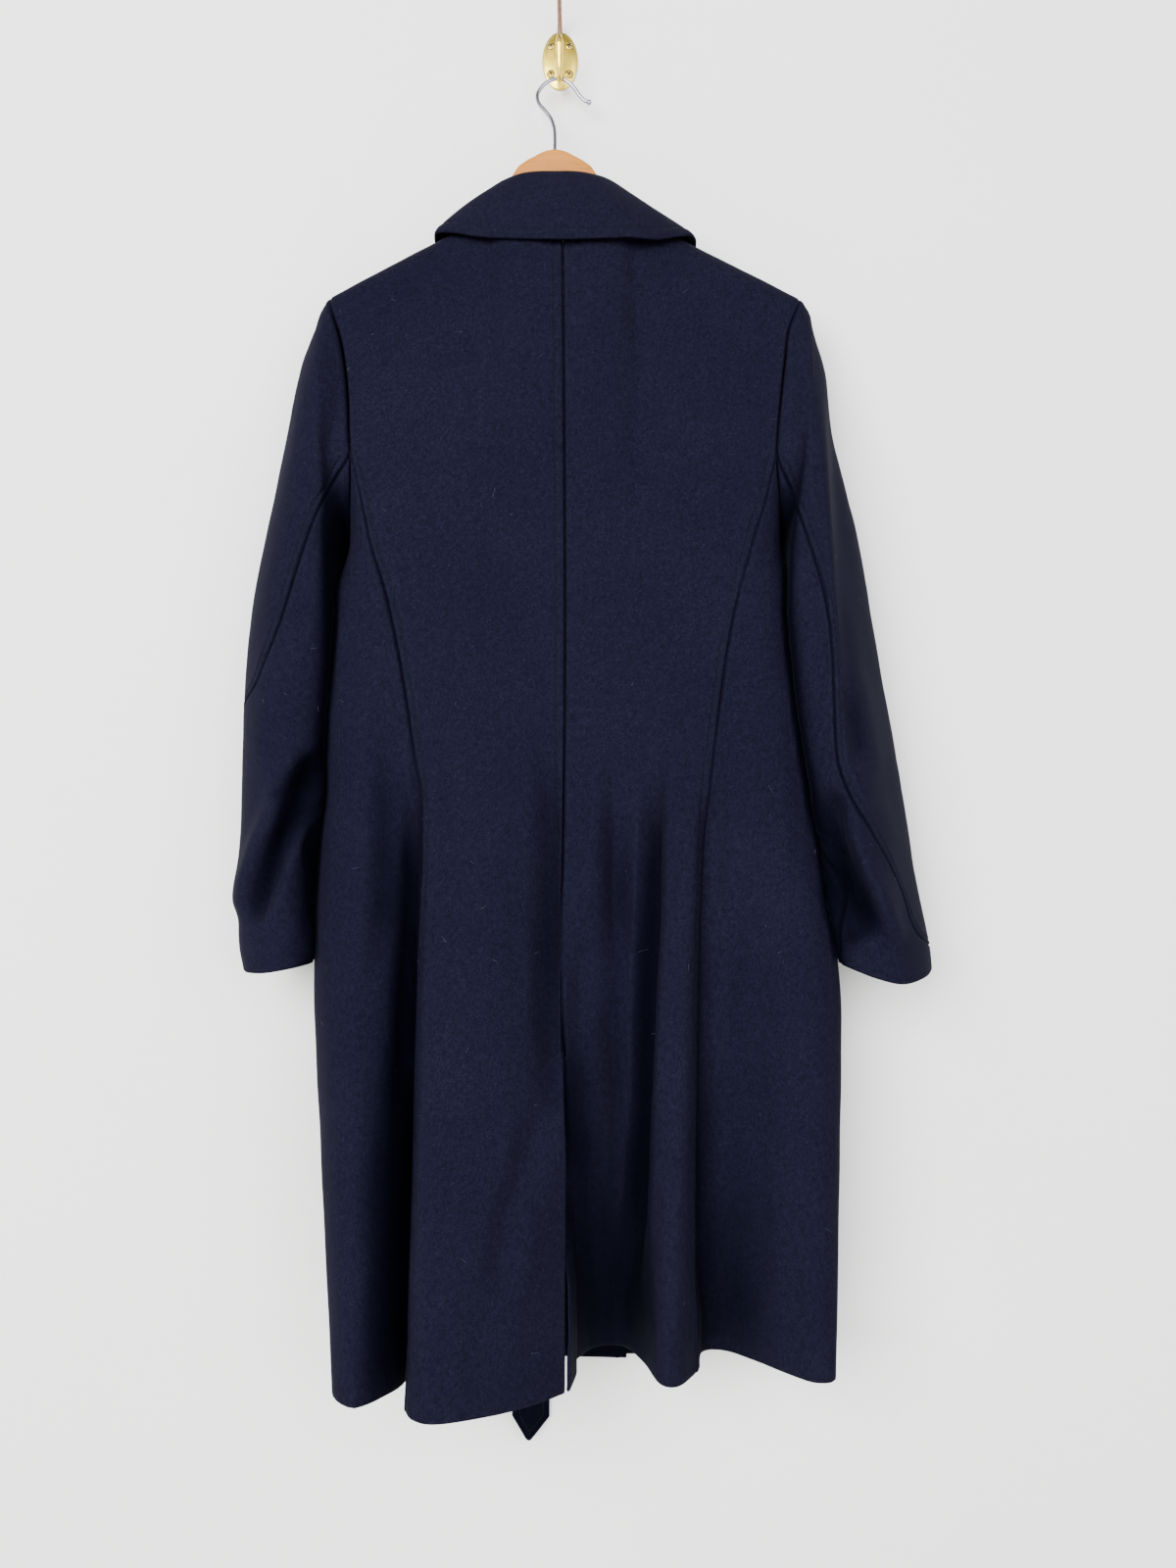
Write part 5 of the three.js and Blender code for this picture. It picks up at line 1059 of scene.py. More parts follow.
sleeves = {}
for side in ("left", "right"):
    arm, rows = ARM[side], SLEEVE[side]
    sx = -1.0 if side == "left" else 1.0
    rings = []
    for n_, (o, i, near, step, far, farout, _, _) in enumerate(rows):
        o, i = np.array(o, float), np.array(i, float)

        def at(share_y):
            p = o + (i - o) * share_y[0]
            p[1] = share_y[1]
            # the near side of the cuff dips
            p[2] -= CUFF_DIP[side] * (0, 0.4, 1)[max(0, n_ - 8)] * math.sin(math.pi * min(1, max(0, share_y[0]))) * (share_y[1] < -80)
            return p
        # the near side stays flat as far as the line where the arm meets the body, then turns in sharply
        brow = at([0.97, near[1] + (15, 11, 10, 11, 14, 15, 15, 15, 12, 12, 12)[n_]])
        if n_ >= 1:
            v = 800 - (brow[2] + 694) * 1200 / (1130 + brow[1])
            brow[0] = 26.8 + (across_at(ARM_GAP[side], v) + sx * 1.8 - 600) * (1130 + brow[1]) / 1200
        inner = i.copy()
        inner[0] = i[0] - sx * CLOSER[side][n_]
        if n_ == 0:
            rings.append(ring([o, at(step), at(near), at([0.88, near[1] + 16]), i, at(far), at(farout)]))
        else:
            rings.append(ring([o, at(step), at(near), brow, inner, at(far), at(farout)]))
    ks = np.arange(len(rows) + 1)
    kk = len(rows) * np.linspace(0, 1, SLEEVE_FINE) ** 1.1

    def seam_shares(pts, lo, hi, table, k0, k1):
        """Shares round the sleeve where its near side crosses a line of the picture; the table fills in where it doesn't."""
        out = table.copy()
        found = np.full(len(kk), np.nan)
        pts = np.asarray(pts, float)
        for r, k in enumerate(kk):
            if not (k0 <= k <= k1):
                continue
            ss = np.linspace(lo, hi, 260)
            stack = np.stack([arm.f(ss)] + [f(ss) for f in rings], 0)
            q = Spline(ks, stack.reshape(len(stack), -1))(k).reshape(-1, 3)
            uv = project(q)
            if uv[:, 1].min() > pts[-1, 1] or uv[:, 1].max() < pts[0, 1]:
                continue
            g = uv[:, 0] - across_at(pts, uv[:, 1])
            ok = (uv[:, 1] >= pts[0, 1] - 2) & (uv[:, 1] <= pts[-1, 1] + 2)
            x = np.where((g[:-1] * g[1:] <= 0) & ok[:-1])[0]
            if len(x):
                j = x[np.argmin(np.abs(ss[x] - out[r]))]
                found[r] = ss[j] + (ss[j + 1] - ss[j]) * abs(g[j]) / (abs(g[j]) + abs(g[j + 1]) + 1e-9)
        good = np.where(~np.isnan(found))[0]
        if len(good) > 4:
            d = np.interp(np.arange(len(kk)), good, (found - out)[good])
            # beyond the ends of the line the difference fades away
            d = np.where(np.arange(len(kk)) < good[0], d * smooth(max(good[0] - 16, -1), max(good[0], 1), np.arange(len(kk))), d)
            out = out + d
        w = 9
        pad = np.pad(out, w, mode="edge")
        soft = np.convolve(pad, np.hanning(2 * w + 3)[1:-1] / np.hanning(2 * w + 3)[1:-1].sum(), mode="valid")
        blend = smooth(0, 14, np.arange(len(kk)))
        return out * (1 - blend) + soft * blend

    hind_t = Spline(ks, [[arm.princess]] + [[r[6]] for r in rows])(kk)[:, 0]
    fore_t = Spline(ks, [[FORE]] + [[r[7]] for r in rows])(kk)[:, 0]
    h = seam_shares(HIND_SEAM[side], -0.08, 0.5, hind_t, 0.35, len(rows))
    f = seam_shares(FORE_SEAM[side], 0.25, 0.56, fore_t, 8.2 if side == "left" else 9.0, len(rows))

    def rows_at(a, b, n=NB):
        out = np.empty((SLEEVE_FINE, n, 3))
        for r, k in enumerate(kk):
            s = np.linspace(a[r], b[r], n)
            stack = np.stack([arm.f(s)] + [f(s) for f in rings], 0)     # ring, n, 3
            out[r] = Spline(ks, stack.reshape(len(stack), -1))(k).reshape(n, 3)
        return out
    whole = rows_at(np.zeros(SLEEVE_FINE), np.ones(SLEEVE_FINE), 49)[:, :-1]
    centre = whole.mean(1)
    for part, a, b in (("under", h, f), ("upper", f, 1 + h)):
        base_rows = rows_at(a, b)
        if part == "under":
            G, d0, d1 = resample(base_rows, PLAIN, PLAIN, 22)
        else:
            G, d0, d1 = resample(base_rows, PLAIN, STITCHED * 0.72, 34)
        N = normals(G, G - centre[:, None])
        sleeves[part, side] = dict(P=G, N=N, d0=d0, d1=d1, part=part, side=side)

for side in ("left", "right"):
    U, O = sleeves["under", side], sleeves["upper", side]
    for a, b in ((0, -1), (-1, 0)):
        s = unit(U["N"][:, a] + O["N"][:, b])
        U["N"][:, a] = s
        O["N"][:, b] = s

SLEEVE_CREASES = {
    "left": [
        # the elbow: a long soft fold falling outwards with a hollow below it
        ([(313, 738), (297, 786), (279, 826), (263, 862), (253, 900), (247, 936)], 6.5, 5.5, 0.2),
        ([(322, 765), (309, 803), (296, 838), (282, 868), (271, 898), (263, 922), (257, 948)], 7.5, -16.0, 0.14),
        ([(324, 790), (320, 850), (318, 910), (318, 960)], 8, -5.0, 0.25),
        ([(262, 735), (282, 752), (304, 762), (326, 756)], 8, -1.8, 0.3),
        ([(300, 740), (310, 770), (318, 790)], 6, -1.6, 0.3),
        ([(345, 520), (330, 575), (320, 640), (314, 700)], 8, 1.4, 0.3),
        ([(326, 330), (314, 400), (303, 460)], 11, 1.2, 0.35),
        ([(345, 400), (340, 440), (330, 470)], 6, -1.6, 0.3),
        ([(288, 905), (292, 945), (296, 980)], 9, 1.6, 0.3)],
    "right": [
        ([(846, 800), (854, 860), (866, 900), (880, 930), (898, 954)], 9.5, -17.0, 0.18),
        ([(850, 800), (866, 842), (884, 886), (906, 934), (925, 970)], 6.5, 5.0, 0.2),
        ([(892, 946), (906, 960), (918, 968)], 5, -5.0, 0.3),
        ([(856, 905), (860, 945), (866, 985)], 8, -7.0, 0.3),
        ([(832, 335), (839, 378), (841, 418), (843, 479), (845, 540), (848, 601), (851, 663), (853, 724)], 4.5, 2.6, 0.14),
        ([(845, 360), (852, 440), (858, 540), (864, 640), (872, 740)], 7, -3.6, 0.22),
        ([(812, 505), (822, 575), (834, 660), (840, 730)], 8, -1.2, 0.3),
        ([(893, 700), (900, 770), (908, 840), (920, 900)], 9, 2.0, 0.3),
        ([(863, 680), (868, 716), (875, 762), (882, 800)], 7.5, -6.5, 0.3),
        ([(812, 350), (808, 400), (804, 440)], 6, -1.5, 0.3)],
}


def quads_of(P, mask=None, step=(1, 1)):
    """Points and quads of a sheet, thinned out, for a search tree."""
    R_, C_ = P.shape[:2]
    ri = np.unique(np.concatenate([np.arange(0, R_, step[0]), [R_ - 1]]))
    ci = np.unique(np.concatenate([np.arange(0, C_, step[1]), [C_ - 1]]))
    q = P[np.ix_(ri, ci)].reshape(-1, 3)
    m_, n_ = len(ri), len(ci)
    faces = [(i * n_ + j, i * n_ + j + 1, (i + 1) * n_ + j + 1, (i + 1) * n_ + j) for i in range(m_ - 1) for j in range(n_ - 1)
             if mask is None or mask[min(ri[i], R_ - 2), min(ci[j], C_ - 2)]]
    return q, faces


def tree_of(sheets):
    v, f = [], []
    for q, faces in sheets:
        k0 = len(v)
        v += q.tolist()
        f += [tuple(a + k0 for a in x) for x in faces]
    return BVHTree.FromPolygons(v, f)


BODY_TREE = {side: tree_of([quads_of(pieces[n + side]["P"], pieces[n + side]["mask"], (2, 1)) for n in ("side_back_", "back_", "front_")]) for side in ("left", "right")}


def clear_of_body(P, down, side, room=1.3):
    """Lays the sleeve against the body's side where the two press together, room mm apart."""
    sx = -1.0 if side == "left" else 1.0
    tree = BODY_TREE[side]
    Q = P.copy()
    for i in range(P.shape[0]):
        for j in range(P.shape[1]):
            w = min(1.0, max(0.0, (down[i, j] - 3.0) / 12.0))
            if w <= 0 or P[i, j, 2] > -466:
                continue
            q = Vector(Q[i, j].tolist())
            for _ in range(3):
                loc, n, _i, dist = tree.find_nearest(q, 26.0)
                if loc is None:
                    break
                if n.x * sx < 0:
                    n = -n
                out = (q - loc).dot(n)
                if out >= room or (out < 0 and dist > 24):
                    break
                q = q + n * ((room - out) * w)
            Q[i, j] = q
    return Q


for (part, side), p in sleeves.items():
    P, N, d0, d1 = p["P"], p["N"], p["d0"], p["d1"]
    down = np.cumsum(np.concatenate([np.zeros((1, P.shape[1])), np.linalg.norm(np.diff(P, axis=0), axis=2)]), 0)
    disp = 0.5 * waves(P, 60 + (0 if side == "left" else 9) + (0 if part == "under" else 3), 120.0) * smooth(0, 60, down)
    disp += 0.18 * waves(P, 71, 34.0)
    disp += seam_roll(d0, 0.8, 1.1) + seam_roll(d1, 0.8, 1.1)
    disp += seam_roll(down, 0.9, 1.6) + 0.7 * np.exp(-((down - 9) / 7.0) ** 2)      # sleeve head stands proud of the armhole
    if part == "upper":
        disp += topstitch(d1, at=8.0 * 0.72) * smooth(4, 14, down)
    P = P + N * disp[..., None]
    for pts, width, depth, taper in SLEEVE_CREASES[side]:
        P = crease(P, N, pts, width, depth, taper)
    # far sides: drags down from the sleeve head and across the elbow
    y = P[..., 1]
    far = smooth(-60, -30, y)
    for i, (s0, w, amp) in enumerate([(0.18, 16, 1.4), (0.43, 12, -1.7), (0.52, 15, 1.5), (0.62, 11, -1.3), (0.8, 18, 1.2)]):
        u = down / down[-1].mean()
        line = s0 + 0.05 * np.sin(P[..., 0] / 17.0 + i) + 0.0
        P = P + N * (amp * far * np.exp(-0.5 * ((u - line) * 620 / w) ** 2))[..., None]
    P = clear_of_body(P, down, side)
    Q = drawn_in(P, left=1.0, right=1.0, top=1.0)
    foot = down[-1][None] - down
    t = 2.0 + 0.9 * smooth(40, 34, foot) + 0.4 * np.exp(-(foot / 3.0) ** 2)
    p["P"] = P
    name = f"sleeve_{part}_{side}"
    # painted shade along the seams, the sleeve head and the topstitch; the hollow mask adds painted shade in the elbow
    # hollows
    shut = np.maximum(np.maximum(np.exp(-(d0 / 1.35) ** 2), np.exp(-(d1 / 1.35) ** 2)), np.exp(-(down / 1.6) ** 2))
    if part == "upper":
        shut = np.maximum(shut, 0.5 * np.exp(-((d1 - 8.0 * 0.72) / 0.8) ** 2) * smooth(4, 14, down))
    p["object"] = shell("cloth_" + name, Q, N, t, None, WOOL, (name,), shut=shut, deep=hollow(Q, "sleeve_" + side) * (N[..., 1] < 0.1))
    if part == "upper":
        cc = P.shape[1] - 1 - STITCH_COL
        add_stitches(P[2:, cc], N[2:, cc])

# ------------------------------------------------------------------ collar
COLLAR = [  # fold, edge, neck seam
    [[-37, -17, -250], [-97, -16.5, -258], [-36, -24, -246]], [[-46, -18, -215], [-110, -17.5, -214], [-43, -25, -214]],
    [[-57, -22, -178], [-115, -30, -189.5], [-53, -28, -186]], [[-61, -33, -157], [-114.5, -46, -186], [-60.5, -33, -168]],
    [[-58, -44, -146.5], [-110, -58, -188.5], [-57, -44, -165.5]], [[-49, -53.5, -140.5], [-95, -69, -194], [-47, -51, -169.5]],
    [[-34, -60.5, -138], [-68, -78, -202], [-30, -56.5, -173]], [[-18, -63, -137.5], [-34, -87, -207.5], [-13, -58, -175.5]],
    [[-2, -63, -137.5], [2, -93, -210.5], [4, -58.5, -176]], [[12, -63, -137.5], [36, -91, -209], [21, -58, -175.5]],
    [[27, -60.5, -138], [66, -86, -206], [38, -56.5, -173]], [[44, -53.5, -139.5], [90, -77, -203.5], [55, -51, -169.5]],
    [[56, -44, -146], [110, -66, -195], [65, -44, -165.5]], [[62, -33, -157], [124, -50, -188.5], [68.5, -33, -168]],
    [[61, -21, -180], [127, -28, -192], [61, -28, -186]], [[53, -11, -215], [120, -11.5, -220], [51, -22, -214]],
    [[44, -10.6, -250], [105, -10.6, -268], [43, -22, -246]]]
ck = np.arange(len(COLLAR))
c_fold, c_edge, c_neck = (Spline(ck, [r[i] for r in COLLAR]) for i in range(3))
NCOL = 241
k = np.linspace(0, len(COLLAR) - 1, NCOL)
fold_l, edge_l, neck_l = c_fold(k), c_edge(k), c_neck(k)
cc0 = np.array([2.0, -28.0, -150.0])
o_dir = fold_l - cc0
o_dir[:, 1] *= 1.4
o_dir[:, 2] = 0
o_dir = unit(o_dir)
flat = smooth(0, 3, np.minimum(k, len(COLLAR) - 1 - k))[:, None]
up_z = np.array([0, 0, 1.0])
rows = [fold_l - o_dir * (2.6 * flat + 0.6) - up_z * 2.2, fold_l - o_dir * 0.6 + up_z * 0.0]
vs = [0, 0.045, 0.2, 0.45, 0.72, 1.0]
for v in vs[1:]:
    roll = 5.5 * math.sin(math.pi * min(1, v * 1.05)) ** 0.8 * (0.25 + 0.75 * flat)
    rows.append(fold_l + (edge_l - fold_l) * v + o_dir * roll * 0.6 + up_z * roll * 0.55)
rows = np.stack(rows, 1)                          # NCOL, 7, 3
st = np.array([-0.06, 0.0, 0.045, 0.2, 0.45, 0.72, 1.0])
fine_rows = np.stack([Spline(st, rows[i])(np.linspace(-0.06, 1, NB)) for i in range(NCOL)], 0)
G, d0, d1 = resample(fine_rows, [0, 0.6, 1.2, 2.0, 3.0, 4.2, 5.6, 7.5, 10, 13], STITCHED * 1.1, 20)
ref = np.broadcast_to(o_dir[:, None] + np.array([0, 0, 0.7]), G.shape)
N = normals(G, ref)
along = np.linspace(0, 1, NCOL)[:, None]
ends = np.minimum(k, len(COLLAR) - 1 - k)[:, None] * 18.0
disp = 0.35 * waves(G, 91, 90.0) + topstitch(d1, at=8.8, groove=0.5, swell=0.4) - 0.45 * np.exp(-(d1 / 1.2) ** 2)
G2 = G + N * disp[..., None]
G2 = crease(G2, N, [(500, 205), (540, 214), (600, 214), (650, 208)], 9, 0.9)
G2 = crease(G2, N, [(538, 182), (530, 205), (520, 228)], 7, -0.6)
G2 = crease(G2, N, [(600, 180), (612, 204), (628, 230)], 7, -0.5)
t = 2.9 + 0.5 * np.exp(-((d1 - 2) / 3) ** 2)
# painted shade along the collar's topstitch line
col = shell("cloth_collar_fall", G2, N, t, None, WOOL, ("collar_fall",), round_edge=0.5, shut=0.55 * np.exp(-((d1 - 8.8) / 0.9) ** 2))
cc = G2.shape[1] - 1 - STITCH_COL
add_stitches(G2[3:-3, cc], N[3:-3, cc])
collar = dict(P=G2, N=N)

# the stand
k2 = np.linspace(2 * (len(COLLAR) - 1) / 24, (len(COLLAR) - 1) * 22 / 24, 161)
f2, n2 = c_fold(k2), c_neck(k2)
o2 = f2 - cc0
o2[:, 1] *= 1.4
o2[:, 2] = 0
o2 = unit(o2)
fl2 = smooth(0, 3, np.minimum(k2, len(COLLAR) - 1 - k2))[:, None]
top = f2 - o2 * (4.1 * fl2 + 1.4) + up_z * (-6.4 + 1.2 * (1 - fl2))
low = n2 + up_z * 1.4
G = low[:, None] + (top - low)[:, None] * np.linspace(0, 1, 15)[None, :, None]
N = normals(G, np.broadcast_to(o2[:, None], G.shape))
G = G + N * (0.25 * waves(G, 97, 50.0))[..., None]
stand = shell("cloth_collar_stand", G, N, 1.9, None, WOOL, ("collar_stand",))

# ------------------------------------------------------------------ lapels
LAPEL = {
    "left": [[[-41, -262], [-97, -268]], [[-26, -296], [-104, -292]], [[-4, -343], [-66, -352]], [[20, -395], [-10, -406]], [[40, -436], [34, -440]]],
    "right": [[[47, -262], [105, -276]], [[32, -296], [112, -300]], [[10, -343], [72, -356]], [[-14, -395], [16, -406]], [[-34, -436], [-28, -440]]],
}
for side in ("left", "right"):
    y = -16.9 if side == "left" else -9.8
    L = np.array(LAPEL[side], float)
    r = np.linspace(0, 4, 90)
    turn, reach = Spline(np.arange(5), L[:, 0])(r), Spline(np.arange(5), L[:, 1])(r)
    s = np.linspace(0, 1, NB)
    rowsL = turn[:, None] + (reach - turn)[:, None] * s[None, :, None]
    bulge = (0.0 if side == "left" else 0.6) * np.sin(np.pi * s)[None]
    P3 = np.stack([rowsL[..., 0], y + bulge + 0 * rowsL[..., 0], rowsL[..., 1]], -1)
    G, d0, d1 = resample(P3, PLAIN * 0.6, STITCHED * 0.9, 14)
    N = normals(G, OUT_FRONT)
    G = G + N * (topstitch(d1, at=7.2) * smooth(0, 8, d1 + d0) * 0.7)[..., None]
    o = shell(f"cloth_lapel_{side}", G, N, 2.0 if side == "left" else 2.8, None, WOOL, (f"lapel_{side}",))
    cc = G.shape[1] - 1 - STITCH_COL
    add_stitches(G[2:78, cc], N[2:78, cc])

# ------------------------------------------------------------------ tie belt
def belt_shell(name, mid, across, nrm, width, t=2.9, edge=5.0):
    """A double strip along mid points with its width along across; mm."""
    n = len(mid)
    w = np.array([-1, -0.985, -0.96, -0.92, -0.86, -0.78, -0.73, -0.70, -0.67, -0.6, -0.45, -0.25, 0, 0.25, 0.45, 0.6, 0.67, 0.70, 0.73, 0.78, 0.86, 0.92, 0.96, 0.985, 1.0])
    W = np.broadcast_to(np.asarray(width, float), n)
    G = mid[:, None] + across[:, None] * (w[None, :, None] * W[:, None, None] / 2)
    N = normals(G, nrm)
    dd = (1 - np.abs(w)) * W[:, None] / 2
    G = G + N * (-0.35 * np.exp(-((dd - 5.6) / 0.8) ** 2) + 0.2 * np.exp(-((dd - 3) / 1.6) ** 2) - 0.3 * np.exp(-(dd / 0.8) ** 2))[..., None]
    G = G + N * (0.25 * waves(G, 130, 45.0))[..., None]
    o = shell("cloth_" + name, G, N, t, None, WOOL, (name,), round_edge=0.5)
    for c in (7, len(w) - 8):
        add_stitches(G[2:-2, c], N[2:-2, c])
    return o, G, N


for side in ("left", "right"):
    sx = -1.0 if side == "left" else 1.0
    f = sheet_fn("front_" + side)
    stations = np.array([0.1, 0.5, 1, 1.4, 2, 2.6, 3, 3.25, 3.6, 3.93] if side == "left" else [0.1, 0.5, 1, 1.4, 2, 2.5, 3, 3.5, 3.97])
    ts = np.linspace(stations[0], stations[-1], 90)
    lines = []
    for z in (-584.0, -624.0):
        lv = min(z, WAIST)
        p, a, bq = f(ts / 5, lv), f(np.maximum(ts - 0.02, 0) / 5, lv), f((ts + 0.02) / 5, lv)
        n = np.stack([bq[:, 1] - a[:, 1], a[:, 0] - bq[:, 0]], -1)
        n = n / np.linalg.norm(n, axis=1, keepdims=True)
        n[n[:, 1] < 0] *= -1
        flip = (ts < 0.8) & (np.sign(n[:, 0]) != sx)
        n[flip] *= -1
        q = p + n * 5.3
        if side == "left":
            q[:, 1] += 6 * smooth(-96, -72, q[:, 0])
        lines.append(np.column_stack([q, np.full(len(q), z)]))
    mid = (lines[0] + lines[1]) / 2
    across = unit(lines[0] - lines[1])
    tangent = unit(np.gradient(mid, axis=0))
    nr = unit(np.cross(across, tangent))
    if nr[-1, 1] < 0:
        nr = -nr
    belt_shell(f"belt_{side}", mid, across, np.broadcast_to(nr[:, None], (len(mid), 25, 3)), 40.0)

u, w = np.meshgrid(np.linspace(-0.5, 0.5, 41), np.linspace(-0.5, 0.5, 49))
G = np.stack([-6.5 + 38 * u * (1 - 0.12 * np.cos(np.pi * w)), -3.6 - 4.2 * np.abs(2 * u) ** 3 - 1.2 * np.abs(2 * w) ** 4 - 0.9 * np.cos(9 * w + 3 * u) ** 2 * (1 - np.abs(2 * u) ** 2), -605 - 50 * w], -1)
N = normals(G, OUT_FRONT)
o = shell("cloth_belt_knot", G, N, 4.2, None, WOOL, ("belt_knot",), round_edge=0.5)

ENDS = {
    "belt_end_long": dict(face=-9.3, rows=[[-631, -12, 0], [-760, -16, 0], [-900, -20, 0], [-1040, -24, 0], [-1160, -27, 0], [-1238, -28, 2], [-1264, -28, 22], [-1287, -28, 33]], tip=(-1290, -1318, -1299)),
    "belt_end_short": dict(face=-4.6, rows=[[-631, -2, 0], [-760, 4, 0], [-900, 9, 0], [-1010, 12, 0]], tip=(-1016, -1040, -1016)),
}
for name, e in ENDS.items():
    R_ = np.array(e["rows"], float)
    zs = np.concatenate([np.linspace(R_[0, 0], R_[-1, 0], 200)])
    xc = Spline(-R_[:, 0], R_[:, 1])(-zs)[:, 0]
    tu = np.interp(-zs, -R_[:, 0], R_[:, 2])
    tu = np.convolve(np.pad(tu, 8, mode="edge"), np.ones(17) / 17, mode="valid")
    a = np.radians(tu)
    face = e["face"] - 0.9 * np.minimum(1, tu / 20)
    ks_ = np.linspace(-0.5, 0.5, 33)
    G = np.stack([xc[:, None] + ks_ * 37 * np.cos(a)[:, None], face[:, None] + ks_ * 37 * np.sin(a)[:, None] * 0.85, np.broadcast_to(zs[:, None], (len(zs), 33))], -1)
    # the pointed end
    tl, tm, tr = e["tip"]
    foot = np.where(ks_ < -0.07, np.interp(ks_, [-0.5, -0.07], [tl, tm]), np.interp(ks_, [-0.07, 0.5], [tm, tr]))
    foot = foot + 1.2 * np.exp(-((ks_ + 0.07) / 0.03) ** 2)
    tail = []
    for j in range(1, 25):
        v = j / 24
        row = G[-1].copy()
        row[:, 2] = zs[-1] + (foot - zs[-1]) * v
        tail.append(row)
    G = np.concatenate([G, np.array(tail)])
    N = normals(G, OUT_FRONT)
    dside = np.minimum(ks_ + 0.5, 0.5 - ks_)[None] * 37 + 0 * G[..., 2]
    dfoot = (G[..., 2] - foot[None]) * 0.62
    dd = np.minimum(dside, dfoot)
    G = G + N * (-0.35 * np.exp(-((dd - 5.6) / 0.8) ** 2) + 0.22 * np.exp(-((dd - 3) / 1.6) ** 2))[..., None]
    G = G + N * (0.5 * waves(G, 140, 90.0))[..., None]
    o = shell("cloth_" + name, G, N, 2.8, None, WOOL, (name,), round_edge=0.5)
    for c in (5, 27):
        ok = (dfoot[:, c] > 5.6) & (np.arange(len(G)) > 3)
        add_stitches(G[ok, c], N[ok, c])
        add_stitches(G[ok, c] - N[ok, c] * 2.9, -N[ok, c])
    # round the point, on both faces
    tipline, tipn = [], []
    for c in range(5, 28):
        r = int(np.argmin(np.abs(dfoot[:, c] - 5.6)))
        tipline.append(G[r, c]); tipn.append(N[r, c])
    tipline, tipn = np.array(tipline), np.array(tipn)
    add_stitches(tipline, tipn)
    add_stitches(tipline - tipn * 2.9, -tipn)

# ------------------------------------------------------------------ stitches
def build_stitches(lines, spacing=3.9, length=2.9, radius=0.30):
    prof = [(-0.5, 0.25), (-0.38, 0.8), (0.0, 1.0), (0.38, 0.8), (0.5, 0.25)]
    sides = 6
    V, F = [], []
    for P, N in lines:
        if len(P) < 3:
            continue
        t = np.concatenate([[0], np.cumsum(np.linalg.norm(np.diff(P, axis=0), axis=1))])
        if t[-1] < spacing * 1.2:
            continue
        n = int(t[-1] / spacing)
        at = (np.arange(n) + 0.5) * t[-1] / n
        C = np.stack([np.interp(at, t, P[:, k]) for k in range(3)], -1)
        A = np.stack([np.interp(at - 0.5, t, P[:, k]) for k in range(3)], -1)
        B = np.stack([np.interp(at + 0.5, t, P[:, k]) for k in range(3)], -1)
        T = unit(B - A)
        M = unit(np.stack([np.interp(at, t, N[:, k]) for k in range(3)], -1))
        S = unit(np.cross(T, M))
        for i in range(n):
            base_i = len(V)
            for u_, r_ in prof:
                # the thread dips into the cloth at its ends
                c = C[i] + T[i] * (u_ * length) + M[i] * (0.10 - 0.9 * abs(u_) ** 2.5)
                for s_ in range(sides):
                    a_ = 2 * math.pi * s_ / sides
                    V.append(c + (S[i] * math.cos(a_) + M[i] * math.sin(a_)) * radius * r_)
            for a_ in range(len(prof) - 1):
                for s_ in range(sides):
                    p0 = base_i + a_ * sides + s_
                    p1 = base_i + a_ * sides + (s_ + 1) % sides
                    F.append((p0, p1, p1 + sides, p0 + sides))
            F.append(tuple(base_i + s_ for s_ in reversed(range(sides))))
            F.append(tuple(base_i + (len(prof) - 1) * sides + s_ for s_ in range(sides)))
    return np.array(V), F


V, F = build_stitches(STITCH_LINES)
st_obj = mesh("topstitching", V / 1000.0, F, THREAD)

# ------------------------------------------------------------------ lint: a few stray pale hairs on the nap
rng = np.random.default_rng(5)
V, F = [], []
hosts = [pieces["back_left"], pieces["back_right"], pieces["side_back_left"], pieces["side_back_right"], sleeves["under", "left"], sleeves["upper", "left"], sleeves["under", "right"], sleeves["upper", "right"]]
weights = np.array([0.34, 0.3, 0.08, 0.1, 0.04, 0.05, 0.04, 0.05])
for n in range(64):
    h = hosts[rng.choice(len(hosts), p=weights)]
    P, N = h["P"], h["N"]
    for _ in range(30):
        i, j = rng.integers(6, P.shape[0] - 10), rng.integers(4, P.shape[1] - 18)
        if N[i, j, 1] < -0.5:
            break
    p0, n0 = P[i, j], N[i, j]
    ta = unit(np.cross(n0, rng.normal(size=3)))
    tb = np.cross(n0, ta)
    Lh, curl = rng.uniform(2.5, 9.0), rng.uniform(-1.8, 1.8)
    seg = 7
    for s_ in range(seg):
        a_ = curl * s_ / (seg - 1)
        q = p0 + ta * (Lh * s_ / (seg - 1)) * math.cos(a_ * 0.6) + tb * (Lh * 0.35) * math.sin(a_)
        # follow the cloth: drop onto the nearest point of the sheet
        dd = np.linalg.norm(P[max(0, i - 4):i + 5, max(0, j - 5):j + 6] - q, axis=-1)
        ii = np.unravel_index(np.argmin(dd), dd.shape)
        qn = N[max(0, i - 4) + ii[0], max(0, j - 5) + ii[1]]
        qp = P[max(0, i - 4) + ii[0], max(0, j - 5) + ii[1]]
        q = q - qn * np.dot(q - qp, qn) + qn * 0.22
        side_v = unit(np.cross(qn, ta)) * 0.04
        V += [q - side_v, q + side_v, q + qn * 0.09]
        if s_:
            b_ = len(V) - 6
            F += [(b_, b_ + 3, b_ + 5, b_ + 2), (b_ + 2, b_ + 5, b_ + 4, b_ + 1), (b_ + 1, b_ + 4, b_ + 3, b_)]
    e_ = len(V) - 3
    s0_ = len(V) - 3 * seg
    F += [(s0_, s0_ + 2, s0_ + 1), (e_, e_ + 1, e_ + 2)]
lint = mesh("lint_hairs", np.array(V) / 1000.0, F, LINT)

